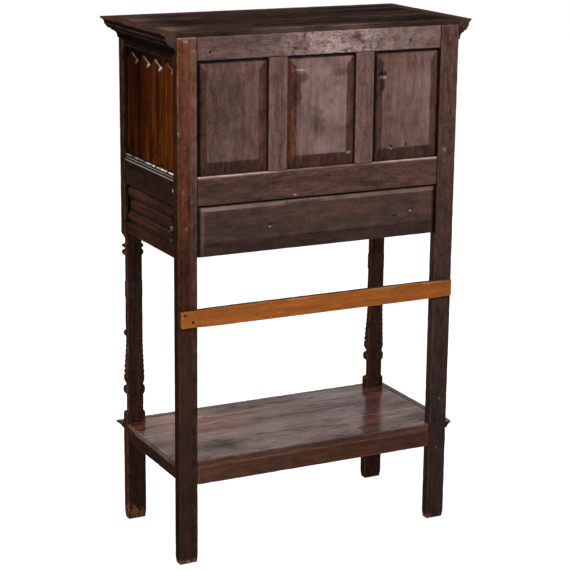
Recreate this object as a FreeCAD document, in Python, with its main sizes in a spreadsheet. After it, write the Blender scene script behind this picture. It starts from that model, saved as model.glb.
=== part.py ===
import FreeCAD, Part
import Sketcher
import os

os.makedirs("parts", exist_ok=True)
doc = FreeCAD.newDocument("cabinet_on_stand")
Vector = FreeCAD.Vector

# Driving sizes in millimetres
SIZES = {
    "total_height": 1300,
    "body_width": 754,
    "body_depth": 356,
    "post_width": 51,
    "post_depth": 26,
    "foot_chamfer": 4,
    "top_thickness": 12,
    "cornice_projection": 34,
    "cornice_height": 49,
    "top_rail_height": 55,
    "floor_level": 962,
    "mid_rail_height": 69,
    "box_bottom": 768,
    "sill_height": 44,
    "rail_thickness": 20,
    "front_thickness": 22,
    "back_setback": 1.5,
    "side_setback": 2,
    "muntin_width": 48,
    "tenon_thickness": 8,
    "tenon_length": 22,
    "tenon_shoulder": 7,
    "side_tenon_length": 16,
    "muntin_tenon": 14,
    "groove_depth": 8,
    "tongue_depth": 7,
    "tongue_thickness": 6,
    "groove_play": 0.2,
    "bevel_width": 26,
    "bevel_rise": 5,
    "low_bevel": 13,
    "low_bevel_bottom": 35,
    "fold_relief": 6.5,
    "fold_margin": 9,
    "fold_point": 17,
    "lying_fold_height": 31,
    "floor_thickness": 12,
    "floor_drop": 4,
    "shelf_level": 264,
    "shelf_thickness": 16,
    "shelf_rail_height": 46,
    "shelf_side_rail_height": 31,
    "shelf_seam": 46,
    "lip_projection": 14,
    "lip_height": 18,
    "plank_gap_height": 5,
    "plank_gap_depth": 14,
    "batten_level": 602,
    "batten_height": 46,
    "batten_thickness": 11,
    "nail_half": 1.4,
    "nail_head_half": 3.2,
    "nail_head_height": 1.2,
    "nail_depth": 17,
    "nail_near": 14,
    "nail_far": 34,
    "door_gap": 3,
    "hinge_gap": 1.5,
    "door_play": 1.2,
    "door_back_play": 0.3,
    "door_band": 48,
    "door_margin": 16,
    "latch_margin": 38,
    "pin_radius": 3,
    "eye_radius": 5.5,
    "pin_offset": 6,
    "eye_height": 18,
    "running_gap": 0.05,
    "strap_thickness": 2.5,
    "strap_length": 118,
    "strap_width": 20,
    "hinge_inset": 24,
    "pintle_reach": 36,
    "pintle_base": 8,
    "pintle_plate": 28,
    "spindle_radius": 4,
    "latch_half": 36,
    "latch_height": 11,
    "latch_thickness": 4,
    "latch_inset": 23,
    "latch_tip": 5,
    "stop_thickness": 9,
    "stop_drop": 7,
    "stop_height": 25,
    "stop_gap": 8,
    "stop_inset": 30,
    "drawer_play": 1.2,
    "drawer_length": 318,
    "drawer_board": 12,
    "drawer_wall": 68,
    "runner_height": 18,
    "runner_width": 26,
    "guide_height": 44,
    "ring_radius": 17,
    "ring_wire": 2.6,
    "knuckle_radius": 4.6,
    "knuckle_length": 11,
    "plate_radius": 15,
    "plate_thickness": 2,
    "ring_drop": 30,
    "lying_margin": 3,
    "lying_point": 11,
    "ledge_bevel": 5.5,
    "shaft_inset": 5,
    "front_inset": 1,
    "shaft_chamfer": 6,
    "boss_radius": 9.2,
    "base_plinth": 14,
    "lip_thickness": 4,
    "face_bevel": 13,
    "drawer_bottom": 7,
    "bottom_rise": 7,
    "plough_depth": 5,
    "drawer_back_drop": 6,
    "carving_inset": 4,
    "recess_extra": 0.6,
}

dims = doc.addObject("Spreadsheet::Sheet", "dims")
for row, (alias, size) in enumerate(SIZES.items(), start=1):
    dims.set(f"A{row}", alias.replace("_", " "))
    dims.set(f"B{row}", str(size))
    dims.setAlias(f"B{row}", alias)
doc.recompute()

# Named lines of the object, as formulas over the driving sizes
OUT = "(dims.body_width / 2)"
IN = "(dims.body_width / 2 - dims.post_width)"
BEHIND = "(dims.batten_thickness + dims.nail_head_height)"
DEEP = f"(dims.cornice_projection + dims.body_depth + {BEHIND})"
FRONT = f"(dims.cornice_projection - {DEEP} / 2)"
BACK = f"({DEEP} / 2 - {BEHIND})"
FRONT_IN = f"({FRONT} + dims.post_depth)"
BACK_IN = f"({BACK} - dims.post_depth)"
POST_TOP = "(dims.total_height - dims.top_thickness)"
RAIL_LOW = f"({POST_TOP} - dims.top_rail_height)"
FLOOR = "dims.floor_level"
MID_LOW = "(dims.floor_level - dims.mid_rail_height)"
BOX = "dims.box_bottom"
SILL = "(dims.box_bottom + dims.sill_height)"
SHELF = "dims.shelf_level"
SHELF_LOW = "(dims.shelf_level - dims.shelf_thickness)"
BACK_FACE = f"({BACK} - dims.back_setback)"
BACK_RAIL = f"({BACK_FACE} - dims.rail_thickness)"
BACK_MID = f"({BACK_FACE} - dims.rail_thickness / 2)"
FRONT_RAIL = f"({FRONT} + dims.front_thickness)"
FRONT_MID = f"({FRONT} + dims.front_thickness / 2)"
SIDE_FACE = f"({OUT} - dims.side_setback)"
SIDE_RAIL = f"({SIDE_FACE} - dims.rail_thickness)"
SIDE_MID = f"({SIDE_FACE} - dims.rail_thickness / 2)"
BAY = f"((2 * {IN} - 2 * dims.muntin_width) / 3)"
MUNTIN_IN = f"({BAY} / 2)"
MUNTIN_OUT = f"({BAY} / 2 + dims.muntin_width)"
HALF_TENON = "(dims.tenon_thickness / 2)"
HALF_TONGUE = "(dims.tongue_thickness / 2)"
HALF_GROOVE = "(dims.tongue_thickness / 2 + dims.groove_play)"
SIDES = (("left", -1), ("right", 1))


def value(formula):
    """Number that a formula over the sheet gives now."""
    return float(dims.evalExpression(formula))


def about(centre, half):
    """Span of a given half size about a centre."""
    return (f"{centre} - {half}", f"{centre} + {half}")


def mirrored(span, side):
    """Span along the width for the right side, or its mirror image for the left."""
    low, high = span
    if side > 0:
        return (low, high)
    return (f"-({high})", f"-({low})")


def box(wide, deep, tall):
    """Block between low and high formulas on the three axes."""
    item = doc.addObject("Part::Box", "block")
    spans = (wide, deep, tall)
    for size, axis, (low, high) in zip(("Length", "Width", "Height"), "xyz", spans):
        item.setExpression(size, f"({high}) - ({low})")
        item.setExpression(f"Placement.Base.{axis}", low)
    return item


def raised(near, near_box, far, far_box):
    """Raised field: tapers along the depth from one upright rectangle to another."""
    item = doc.addObject("Part::Wedge", "field")
    (x0, x1), (z0, z1) = near_box
    (x2, x3), (z2, z3) = far_box
    rows = {"Ymin": near, "Ymax": far, "Xmin": x0, "Xmax": x1, "Zmin": z0, "Zmax": z1,
            "X2min": x2, "X2max": x3, "Z2min": z2, "Z2max": z3}
    for name, formula in rows.items():
        item.setExpression(name, formula)
    return item


def rod(radius, length, at, along):
    """Round bar from a point, along x, y or z."""
    item = doc.addObject("Part::Cylinder", "rod")
    item.setExpression("Radius", radius)
    item.setExpression("Height", length)
    turn = {"x": (Vector(0, 1, 0), 90), "y": (Vector(1, 0, 0), -90), "z": (Vector(0, 0, 1), 0)}[along]
    item.Placement = FreeCAD.Placement(Vector(0, 0, 0), FreeCAD.Rotation(*turn))
    for axis, formula in zip("xyz", at):
        item.setExpression(f"Placement.Base.{axis}", formula)
    return item


def fuse(pieces):
    """One solid out of several that touch or overlap."""
    item = doc.addObject("Part::MultiFuse", "joined")
    item.Shapes = pieces
    item.Refine = True
    return item


def cut(base, tools):
    """A piece with mortises, grooves or holes taken out of it."""
    item = doc.addObject("Part::Cut", "cut")
    item.Base = base
    item.Tool = fuse(tools) if len(tools) > 1 else tools[0]
    item.Refine = True
    return item


def group(pieces):
    """Several equal loose pieces kept together under one name."""
    item = doc.addObject("Part::Compound", "set")
    item.Links = pieces
    return item


def plane_of(body, role):
    """Origin plane of a body."""
    return [item for item in body.Origin.OriginFeatures if item.Role == role][0]


def outline(body, role, corners):
    """Closed sketch through corners (x, y, bulge); the bulge of an edge is its rise to the left."""
    sketch = body.newObject("Sketcher::SketchObject", "outline")
    sketch.AttachmentSupport = [(plane_of(body, role), "")]
    sketch.MapMode = "FlatFace"
    points = [Vector(value(corner[0]), value(corner[1]), 0) for corner in corners]
    count = len(corners)
    bulges = [value(corner[2]) if len(corner) > 2 else 0 for corner in corners]
    edges = []
    for here in range(count):
        start = points[here]
        end = points[(here + 1) % count]
        if bulges[here]:
            run = end - start
            side = Vector(-run.y, run.x, 0).normalize()
            middle = (start + end) * 0.5 + side * bulges[here]
            edges.append(Part.Arc(end, middle, start) if bulges[here] > 0 else Part.Arc(start, middle, end))
        else:
            edges.append(Part.LineSegment(start, end))
    sketch.addGeometry(edges, False)

    def end_number(edge, point):
        return 1 if (sketch.Geometry[edge].StartPoint - point).Length < 1e-5 else 2

    ends = [end_number(here, points[here]) for here in range(count)]
    rules = []
    formulas = {}
    for here in range(count):
        before = (here - 1) % count
        pair = (before, end_number(before, points[here]), here, ends[here])
        rules.append(Sketcher.Constraint("Coincident", *pair))
    for here in range(count):
        for kind, number, formula in (("DistanceX", points[here].x, corners[here][0]),
                                      ("DistanceY", points[here].y, corners[here][1])):
            formulas[len(rules)] = formula
            rules.append(Sketcher.Constraint(kind, -1, 1, here, ends[here], number))
        if bulges[here]:
            after = corners[(here + 1) % count]
            rise = f"abs({corners[here][2]})"
            chord = f"((({after[0]}) - ({corners[here][0]}))^2 + (({after[1]}) - ({corners[here][1]}))^2)"
            radius = f"{chord} / (8 * {rise}) + {rise} / 2"
            formulas[len(rules)] = radius
            rules.append(Sketcher.Constraint("Radius", here, value(radius)))
    sketch.addConstraint(rules)
    for number, formula in formulas.items():
        sketch.setExpression(f"Constraints[{number}]", formula)
    return sketch


def pad(body, sketch, length, turned=False):
    """Sketch pushed out to a length."""
    item = body.newObject("PartDesign::Pad", "pad")
    item.Profile = sketch
    item.setExpression("Length", length)
    item.Reversed = turned
    sketch.Visibility = False
    return item


def pocket(body, sketch, length, turned=False):
    """Sketch cut in to a length."""
    item = body.newObject("PartDesign::Pocket", "pocket")
    item.Profile = sketch
    item.setExpression("Length", length)
    item.Reversed = turned
    return item


def put(item, at, turn=None):
    """Sets a piece down at a point given by formulas, turned so that its axes point as listed."""
    if turn:
        item.Placement = FreeCAD.Placement(Vector(0, 0, 0), FreeCAD.Rotation(*turn, "ZXY"))
    for axis, formula in zip("xyz", at):
        item.setExpression(f"Placement.Base.{axis}", formula)
    return item


X_AXIS = Vector(1, 0, 0)
Y_AXIS = Vector(0, 1, 0)
Z_AXIS = Vector(0, 0, 1)
FORWARD = (X_AXIS, Z_AXIS, -Y_AXIS)


def stepped(rows):
    """Tapered square steps along the forward way, from rows of half width and distance ahead."""
    steps = []
    for (half, near), (far_half, far) in zip(rows, rows[1:]):
        wide = (f"-({far_half})", f"{far_half}")
        base = (f"-({half})", f"{half}")
        steps.append(raised(f"-({far})", (wide, wide), f"-({near})", (base, base)))
    return fuse(steps) if len(steps) > 1 else steps[0]


def faceted(rows):
    """Eight-sided form: what square steps have in common with the same steps turned by 45 degrees."""
    item = doc.addObject("Part::MultiCommon", "faceted")
    turned = stepped(rows)
    turned.Placement = FreeCAD.Placement(Vector(0, 0, 0), FreeCAD.Rotation(Y_AXIS, 45))
    item.Shapes = [stepped(rows), turned]
    return item


NODES = []


def keep(item, label):
    """Names a finished piece and puts it on the list of pieces."""
    item.Label = label
    NODES.append(item)
    return item


def width_tenon(side, mid, tall, slack="0"):
    """Tenon of a rail that runs across the width, or the mortise for it when slack is given."""
    low, high = tall
    reach = (IN, f"{IN} + dims.tenon_length + {slack}")
    return box(mirrored(reach, side), about(mid, HALF_TENON),
               (f"{low} + dims.tenon_shoulder", f"{high} - dims.tenon_shoulder"))


def depth_tenon(side, end, tall, slack="0"):
    """Tenon of a rail that runs from front to back, or the mortise for it when slack is given."""
    low, high = tall
    reach = f"(dims.side_tenon_length + {slack})"
    spans = {"front": (f"{FRONT_IN} - {reach}", FRONT_IN), "back": (BACK_IN, f"{BACK_IN} + {reach}")}
    return box(mirrored(about(SIDE_MID, HALF_TENON), side), spans[end],
               (f"{low} + dims.tenon_shoulder", f"{high} - dims.tenon_shoulder"))


# Heights of the rails
TOP_SPAN = (RAIL_LOW, POST_TOP)
MID_SPAN = (MID_LOW, FLOOR)
SILL_SPAN = (BOX, SILL)
SHELF_SPAN = (f"({SHELF_LOW} - dims.shelf_rail_height)", SHELF_LOW)
SHELF_SIDE_SPAN = (f"({SHELF_LOW} - dims.shelf_side_rail_height)", SHELF_LOW)
SHELF_FRONT = f"({FRONT} + dims.back_setback)"
SHELF_FRONT_MID = f"({SHELF_FRONT} + dims.rail_thickness / 2)"
PANEL_GROOVE = (BOX, f"{RAIL_LOW} + dims.groove_depth")

# Batten nails
NAIL_SPOTS = ((f"({OUT} - dims.nail_near)", "(dims.batten_level + dims.batten_height * 0.74)"),
              (f"({OUT} - dims.nail_far)", "(dims.batten_level + dims.batten_height * 0.34)"))


def nail_hole(side, spot):
    """Square hole for one forged batten nail, through the batten and into the post."""
    across, level = spot
    sign = "" if side > 0 else "-"
    reach = (f"{BACK} - dims.nail_depth", f"{BACK} + dims.batten_thickness")
    return box(about(f"{sign}{across}", "dims.nail_half"), reach, about(level, "dims.nail_half"))


# Square baluster of the front posts: height share and inset share, from the lip down to the base
BALUSTER = (
    (1.000, 0.0, -0.3), (0.963, 1.1), (0.9434, 1.1), (0.9403, 0.9, 0.9), (0.9187, 0.9), (0.9156, 1.0),
    (0.9115, 0.9, 0.9), (0.8786, 0.9), (0.8755, 1.0), (0.7428, 1.0), (0.7387, 0.75), (0.6584, 0.75),
    (0.6543, 1.0), (0.5390, 0.92), (0.4403, 1.0, -0.15), (0.3128, 0.6, 0.15), (0.2058, 0.25),
    (0.1831, 0.95), (0.1780, 0.95), (0.1749, 0.75, 0.75), (0.1276, 0.75), (0.1235, 1.0), (0.0556, 1.0),
    (0.0391, 0.6), (0.0144, 0.0), (0.0, 0.0),
)
# Carved boss: half width and height as shares of its radius
BOSS = ((1.0, 0.0), (0.92, 0.4), (0.7, 0.72), (0.32, 0.95), (0.1, 1.0))
# Stretches of the shaft whose front corners are chamfered, as height shares
CHAMFERED = ((0.49, 0.6543), (0.7428, 0.8755))
BALUSTER_LOW = f"({SHELF} + dims.base_plinth)"
BALUSTER_RUN = f"({BOX} - dims.lip_thickness - {BALUSTER_LOW})"


def shaft_chamfers(middle):
    """Cuts for the front corners of the square shaft, above and below its middle band."""
    tools = []
    half = "dims.post_width / 2"
    inset = "dims.shaft_inset"
    size = f"(2 * {inset} + dims.shaft_chamfer + 2)"
    for low, high in CHAMFERED:
        for sign in ("-", ""):
            body = doc.addObject("PartDesign::Body", "chamfer")
            corners = [(f"{sign}({half} + 1)", "-1"), (f"{sign}({half} + 1)", f"{size} - 1"),
                       (f"{sign}({half} + 1 - {size})", "-1")]
            pad(body, outline(body, "XY_Plane", corners), f"({high} - {low}) * {BALUSTER_RUN}")
            tools.append(put(body, (middle, FRONT, f"{BALUSTER_LOW} + {low} * {BALUSTER_RUN}")))
    return tools


def carved_post(label, side):
    """Front post: side and front outlines of the square baluster cut from one plank, with bosses."""
    body = doc.addObject("PartDesign::Body", "carved_post")
    half = "dims.post_width / 2"
    rows = [(f"{BALUSTER_LOW} + {row[0]} * {BALUSTER_RUN}", f"{row[1]} * dims.shaft_inset",
             f"{row[2] if len(row) > 2 else 0} * dims.shaft_inset") for row in BALUSTER]
    right = [(f"{half} - {inset}", level, bulge) for level, inset, bulge in rows]
    left = []
    for here in range(len(rows) - 1, -1, -1):
        level, inset, _ = rows[here]
        bulge = rows[here - 1][2] if here else "0"
        left.append((f"{inset} - {half}", level, bulge))
    foot = "dims.foot_chamfer"
    corners = [(f"-{half}", POST_TOP), (half, POST_TOP)] + right
    corners += [(half, f"2 * {foot}"), (f"{half} - {foot}", "0"), (f"{foot} - {half}", "0")]
    corners += [(f"-{half}", f"2 * {foot}")] + left
    pad(body, outline(body, "XZ_Plane", corners), "dims.post_depth")
    front = "dims.post_depth"
    edge = [(f"{inset} * dims.front_inset - {front}", level, f"-({bulge}) * dims.front_inset")
            for level, inset, bulge in rows]
    waste = [(f"-{front} - 2", rows[0][0])] + edge + [(f"-{front} - 2", rows[-1][0])]
    # the waste is drawn from the lip down, so its arcs rise the other way round
    trim = pocket(body, outline(body, "YZ_Plane", waste), "dims.post_width + 10")
    trim.Midplane = True
    heel = [(f"-{front}", f"2 * {foot}"), (f"-{front}", "-1"), (f"{foot} - {front}", "-1"),
            (f"{foot} - {front}", "0")]
    toe = pocket(body, outline(body, "YZ_Plane", heel), "dims.post_width + 10")
    toe.Midplane = True
    body.Tip = toe
    sign = "" if side > 0 else "-"
    put(body, (f"{sign}({OUT} - {half})", FRONT_IN, "0"))
    boss_level = f"{BALUSTER_LOW} + 0.465 * {BALUSTER_RUN}"
    outward = (Y_AXIS * side, X_AXIS * -side, Z_AXIS)
    spots = ((f"{sign}({OUT} - dims.shaft_inset - 2)", f"{FRONT_IN} - 10.5", outward),
             (f"{sign}({OUT} - {half})", f"{FRONT} + dims.shaft_inset * dims.front_inset + 2", None))
    bosses = []
    for across, deep, turn in spots:
        boss = faceted([(f"{wide} * dims.boss_radius", f"{tall} * dims.boss_radius") for wide, tall in BOSS])
        bosses.append(put(boss, (across, deep, boss_level), turn))
    base = fuse([body] + bosses)
    tools = shaft_chamfers(f"{sign}({OUT} - {half})")
    tools += [width_tenon(side, FRONT_MID, span, "0.5") for span in (TOP_SPAN, MID_SPAN, SILL_SPAN)]
    tools.append(width_tenon(side, SHELF_FRONT_MID, SHELF_SPAN, "0.5"))
    tools += [depth_tenon(side, "front", span, "0.5") for span in (TOP_SPAN, MID_SPAN, SHELF_SIDE_SPAN)]
    tools.append(box(mirrored(about(SIDE_MID, HALF_GROOVE), side),
                     (f"{FRONT_IN} - dims.groove_depth", FRONT_IN), PANEL_GROOVE))
    keep(cut(base, tools), label)


def plain_post(label, side):
    """Rear post: plain plank with a worn foot, mortised and grooved."""
    foot = "dims.foot_chamfer"
    shank = box(mirrored((IN, OUT), side), (BACK_IN, BACK), (f"2 * {foot}", POST_TOP))
    toe = doc.addObject("Part::Wedge", "foot")
    x0, x1 = mirrored((IN, OUT), side)
    rows = {"Ymin": "0", "Ymax": f"2 * {foot}", "Xmin": f"{x0} + {foot}", "Xmax": f"{x1} - {foot}",
            "Zmin": f"{foot} - {BACK}", "Zmax": f"-{foot} - {BACK_IN}",
            "X2min": x0, "X2max": x1, "Z2min": f"-{BACK}", "Z2max": f"-{BACK_IN}"}
    for name, formula in rows.items():
        toe.setExpression(name, formula)
    toe.Placement = FreeCAD.Placement(Vector(0, 0, 0), FreeCAD.Rotation(X_AXIS, 90))
    base = fuse([shank, toe])
    tools = [width_tenon(side, BACK_MID, span, "0.5") for span in (TOP_SPAN, MID_SPAN, SHELF_SPAN)]
    tools += [depth_tenon(side, "back", span, "0.5") for span in (TOP_SPAN, MID_SPAN, SHELF_SIDE_SPAN)]
    tools.append(box(mirrored((IN, f"{IN} + dims.groove_depth"), side),
                     about(BACK_MID, HALF_GROOVE), PANEL_GROOVE))
    tools.append(box(mirrored(about(SIDE_MID, HALF_GROOVE), side),
                     (BACK_IN, f"{BACK_IN} + dims.groove_depth"), PANEL_GROOVE))
    tools += [nail_hole(side, spot) for spot in NAIL_SPOTS]
    keep(cut(base, tools), label)


def width_rail(label, deep, mid, tall, cuts):
    """Rail across the width between two posts, with a tenon at each end."""
    pieces = [box((f"-{IN}", IN), deep, tall)]
    pieces += [width_tenon(side, mid, tall) for _, side in SIDES]
    rail = fuse(pieces)
    keep(cut(rail, cuts) if cuts else rail, label)


def depth_rail(label, side, wide, tall, cuts):
    """Rail from a front post to a rear post, with a tenon at each end."""
    pieces = [box(mirrored(wide, side), (FRONT_IN, BACK_IN), tall)]
    pieces += [depth_tenon(side, end, tall) for end in ("front", "back")]
    rail = fuse(pieces)
    keep(cut(rail, cuts) if cuts else rail, label)


def stile_tenon(side, mid, level, slack="0"):
    """Stub tenon of a muntin at its top or foot, or the mortise for it."""
    wide = mirrored((f"{MUNTIN_IN} + dims.groove_depth", f"{MUNTIN_OUT} - dims.groove_depth"), side)
    reach = f"(dims.muntin_tenon + {slack})"
    tall = {"top": (RAIL_LOW, f"{RAIL_LOW} + {reach}"), "foot": (f"{FLOOR} - {reach}", FLOOR)}[level]
    return box(wide, about(mid, HALF_TENON), tall)


def muntin(label, side, deep, mid, grooves):
    """Upright between two bays, tenoned into the top and mid rails, grooved for its panels."""
    wide = mirrored((MUNTIN_IN, MUNTIN_OUT), side)
    base = fuse([box(wide, deep, (FLOOR, RAIL_LOW)), stile_tenon(side, mid, "top"),
                 stile_tenon(side, mid, "foot")])
    spans = {"inner": (MUNTIN_IN, f"{MUNTIN_IN} + dims.groove_depth"),
             "outer": (f"{MUNTIN_OUT} - dims.groove_depth", MUNTIN_OUT)}
    tall = (FLOOR, RAIL_LOW)
    tools = [box(mirrored(spans[name], side), about(mid, HALF_GROOVE), tall) for name in grooves]
    keep(cut(base, tools), label)


def fielded_panel(label, wide, tall, tongue, bevels):
    """Back panel: tongued slab with a raised field; bevels are left, right, bottom and top."""
    (x0, x1), (z0, z1) = wide, tall
    left, right, bottom, top = tongue
    slab = box((f"{x0} - {left}", f"{x1} + {right}"), about(BACK_MID, HALF_TONGUE),
               (f"{z0} - {bottom}", f"{z1} + {top}"))
    near = f"{BACK_MID} + {HALF_TONGUE}"
    b_left, b_right, b_bottom, b_top = bevels
    field = raised(near, ((x0, x1), (z0, z1)), f"{near} + dims.bevel_rise",
                   ((f"{x0} + {b_left}", f"{x1} - {b_right}"), (f"{z0} + {b_bottom}", f"{z1} - {b_top}")))
    keep(fuse([slab, field]), label)


def folds(wide, tall, count, point):
    """Carved folds standing on a ground: a ridge between two hollows per fold, pointed at both ends."""
    body = doc.addObject("PartDesign::Body", "folds")
    pitch = f"(({wide}) / {count})"
    relief = "dims.fold_relief"
    valley = f"-0.45 * {relief}"
    flank = f"-0.72 * {relief}"
    hollow = f"0.03 * {pitch}"
    section = [("0", "1")]
    for here in range(count):
        start = f"{here} * {pitch}"
        section.append((start, valley, hollow))
        section.append((f"{start} + 0.36 * {pitch}", flank, f"-0.28 * {relief}"))
        section.append((f"{start} + 0.64 * {pitch}", flank, hollow))
    section += [(wide, valley), (wide, "1")]
    pad(body, outline(body, "XY_Plane", section), tall)
    bow = f"(0.07 * {pitch})"
    for beyond, foot, bend in (("-2", point, bow), (f"{tall} + 2", f"{tall} - {point}", f"-{bow}")):
        tip = "0" if bend == bow else tall
        zigzag = [("0", beyond)]
        for here in range(count):
            zigzag.append((f"{here} * {pitch}", foot, bend))
            zigzag.append((f"({here} + 0.5) * {pitch}", tip, bend))
        zigzag += [(wide, foot), (wide, beyond)]
        body.Tip = pocket(body, outline(body, "XZ_Plane", zigzag), f"{relief} + 1", turned=True)
    return body


def moulding(label, profile, length, mitre_start, mitre_end, at, turn, reach):
    """Profile carried along a straight edge and mitred where it turns a corner."""
    body = doc.addObject("PartDesign::Body", "moulding")
    pad(body, outline(body, "XY_Plane", profile), length)
    over = f"({reach} + 1)"
    through = "4 * dims.cornice_height"
    if mitre_start:
        corners = [("0", reach), (over, "-1"), ("0", "-1")]
        item = pocket(body, outline(body, "XZ_Plane", corners), through)
        item.Midplane = True
    if mitre_end:
        turn_at = f"{length} - {reach}"
        corners = [("0", turn_at), (over, f"{length} + 1"), ("0", f"{length} + 1")]
        item = pocket(body, outline(body, "XZ_Plane", corners), through)
        item.Midplane = True
    put(body, at, turn)
    keep(body, label)


# Posts
carved_post("post_front_left", -1)
carved_post("post_front_right", 1)
plain_post("post_rear_left", -1)
plain_post("post_rear_right", 1)

# Back frame and panels
back_span = (BACK_RAIL, BACK_FACE)
mortises = [stile_tenon(side, BACK_MID, "top", "1") for _, side in SIDES]
groove = box((f"-{IN}", IN), about(BACK_MID, HALF_GROOVE), (RAIL_LOW, f"{RAIL_LOW} + dims.groove_depth"))
width_rail("back_top_rail", back_span, BACK_MID, TOP_SPAN, mortises + [groove])
mortises = [stile_tenon(side, BACK_MID, "foot", "1") for _, side in SIDES]
grooves = [box((f"-{IN}", IN), about(BACK_MID, HALF_GROOVE), (f"{FLOOR} - dims.groove_depth", FLOOR)),
           box((f"-{IN}", IN), about(BACK_MID, HALF_GROOVE), (MID_LOW, f"{MID_LOW} + dims.groove_depth"))]
FLOOR_TOP = f"({FLOOR} - dims.floor_drop)"
FLOOR_LOW = f"({FLOOR_TOP} - dims.floor_thickness)"
HOUSING = "(dims.tongue_depth - 1)"
grooves.append(box((f"-{IN}", IN), (BACK_RAIL, f"{BACK_RAIL} + {HOUSING}"), (FLOOR_LOW, FLOOR_TOP)))
width_rail("back_mid_rail", back_span, BACK_MID, MID_SPAN, mortises + grooves)
for name, side in SIDES:
    muntin(f"back_muntin_{name}", side, back_span, BACK_MID, ("inner", "outer"))
tongue = "dims.tongue_depth"
bevel = "dims.bevel_width"
all_tongues = (tongue, tongue, tongue, tongue)
all_bevels = (bevel, bevel, bevel, f"{bevel} + 3")
for name, wide in (("left", (f"-{IN}", f"-{MUNTIN_OUT}")), ("centre", (f"-{MUNTIN_IN}", MUNTIN_IN)),
                   ("right", (MUNTIN_OUT, IN))):
    fielded_panel(f"back_panel_{name}", wide, (FLOOR, RAIL_LOW), all_tongues, all_bevels)
low = "dims.low_bevel"
fielded_panel("back_lower_panel", (f"-{IN}", IN), (BOX, MID_LOW), (tongue, tongue, "0", tongue),
              (low, low, "dims.low_bevel_bottom", low))

# Sides
side_wide = (SIDE_RAIL, SIDE_FACE)
SIDE_RUN = f"({BACK_IN} - {FRONT_IN})"
FOLD_RUN = f"({SIDE_RUN} - 2 * dims.fold_margin)"
PANEL_RUN = f"({RAIL_LOW} - {FLOOR} - 2 * dims.fold_margin)"
GROUND = f"({SIDE_MID} + {HALF_TONGUE})"
# Moulded top edge of the side mid rails: inset and drop as shares of the bevel
LEDGE = ((1.0, 0.0), (0.44, 0.73), (0.66, 0.84), (0.66, 1.13), (0.33, 1.24), (0.0, 1.8))
for name, side in SIDES:
    sign = "" if side > 0 else "-"
    groove_wide = mirrored(about(SIDE_MID, HALF_GROOVE), side)
    run = (FRONT_IN, BACK_IN)
    depth_rail(f"side_top_rail_{name}", side, side_wide, TOP_SPAN,
               [box(groove_wide, run, (RAIL_LOW, f"{RAIL_LOW} + dims.groove_depth"))])
    ledge = doc.addObject("PartDesign::Body", "ledge")
    corners = [(f"{SIDE_FACE} - {inset} * dims.ledge_bevel", f"{FLOOR} - {drop} * dims.ledge_bevel")
               for inset, drop in LEDGE]
    corners += [(f"{SIDE_FACE} + 1", corners[-1][1]), (f"{SIDE_FACE} + 1", f"{FLOOR} + 1"),
                (corners[0][0], f"{FLOOR} + 1")]
    corners = [(f"{sign}({across})", level) for across, level in corners]
    pad(ledge, outline(ledge, "XZ_Plane", corners), SIDE_RUN)
    put(ledge, ("0", BACK_IN, "0"))
    depth_rail(f"side_mid_rail_{name}", side, side_wide, MID_SPAN,
               [box(groove_wide, run, (f"{FLOOR} - dims.groove_depth", FLOOR)),
                box(groove_wide, run, (MID_LOW, f"{MID_LOW} + dims.groove_depth")), ledge])
    slab_wide = mirrored(about(SIDE_MID, HALF_TONGUE), side)
    slab = box(slab_wide, (f"{FRONT_IN} - {tongue}", f"{BACK_IN} + {tongue}"),
               (f"{FLOOR} - {tongue}", f"{RAIL_LOW} + {tongue}"))
    carving = folds(FOLD_RUN, PANEL_RUN, 4, "dims.fold_point")
    start = f"{FRONT_IN} + dims.fold_margin" if side > 0 else f"{BACK_IN} - dims.fold_margin"
    put(carving, (f"{sign}{GROUND}", start, f"{FLOOR} + dims.fold_margin"),
        (Y_AXIS * side, X_AXIS * -side, Z_AXIS))
    sill = doc.addObject("PartDesign::Body", "sill")
    corners = [(GROUND, f"{FLOOR} + 0.2"), (f"{GROUND} + dims.fold_relief - 0.5", f"{FLOOR} + 0.2"),
               (GROUND, f"{FLOOR} + dims.fold_margin")]
    corners = [(f"{sign}({across})", level) for across, level in corners]
    pad(sill, outline(sill, "XZ_Plane", corners), SIDE_RUN)
    put(sill, ("0", BACK_IN, "0"))
    keep(fuse([slab, carving, sill]), f"side_linenfold_{name}")
    slab = box(slab_wide, (f"{FRONT_IN} - {tongue}", f"{BACK_IN} + {tongue}"),
               (BOX, f"{MID_LOW} + {tongue}"))
    lying = "(3 * dims.lying_fold_height)"
    strip_top = f"({MID_LOW} - dims.lying_margin - {lying} - 2)"
    strip = box(mirrored((SIDE_MID, f"{SIDE_FACE} - 1"), side), run, (BOX, strip_top))
    carving = folds(lying, FOLD_RUN, 3, "dims.lying_point")
    start = f"{BACK_IN} - dims.fold_margin" if side > 0 else f"{FRONT_IN} + dims.fold_margin"
    put(carving, (f"{sign}{GROUND}", start, f"{MID_LOW} - dims.lying_margin - {lying}"),
        (Z_AXIS, X_AXIS * -side, Y_AXIS * -side))
    keep(fuse([slab, strip, carving]), f"side_lower_panel_{name}")

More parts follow.
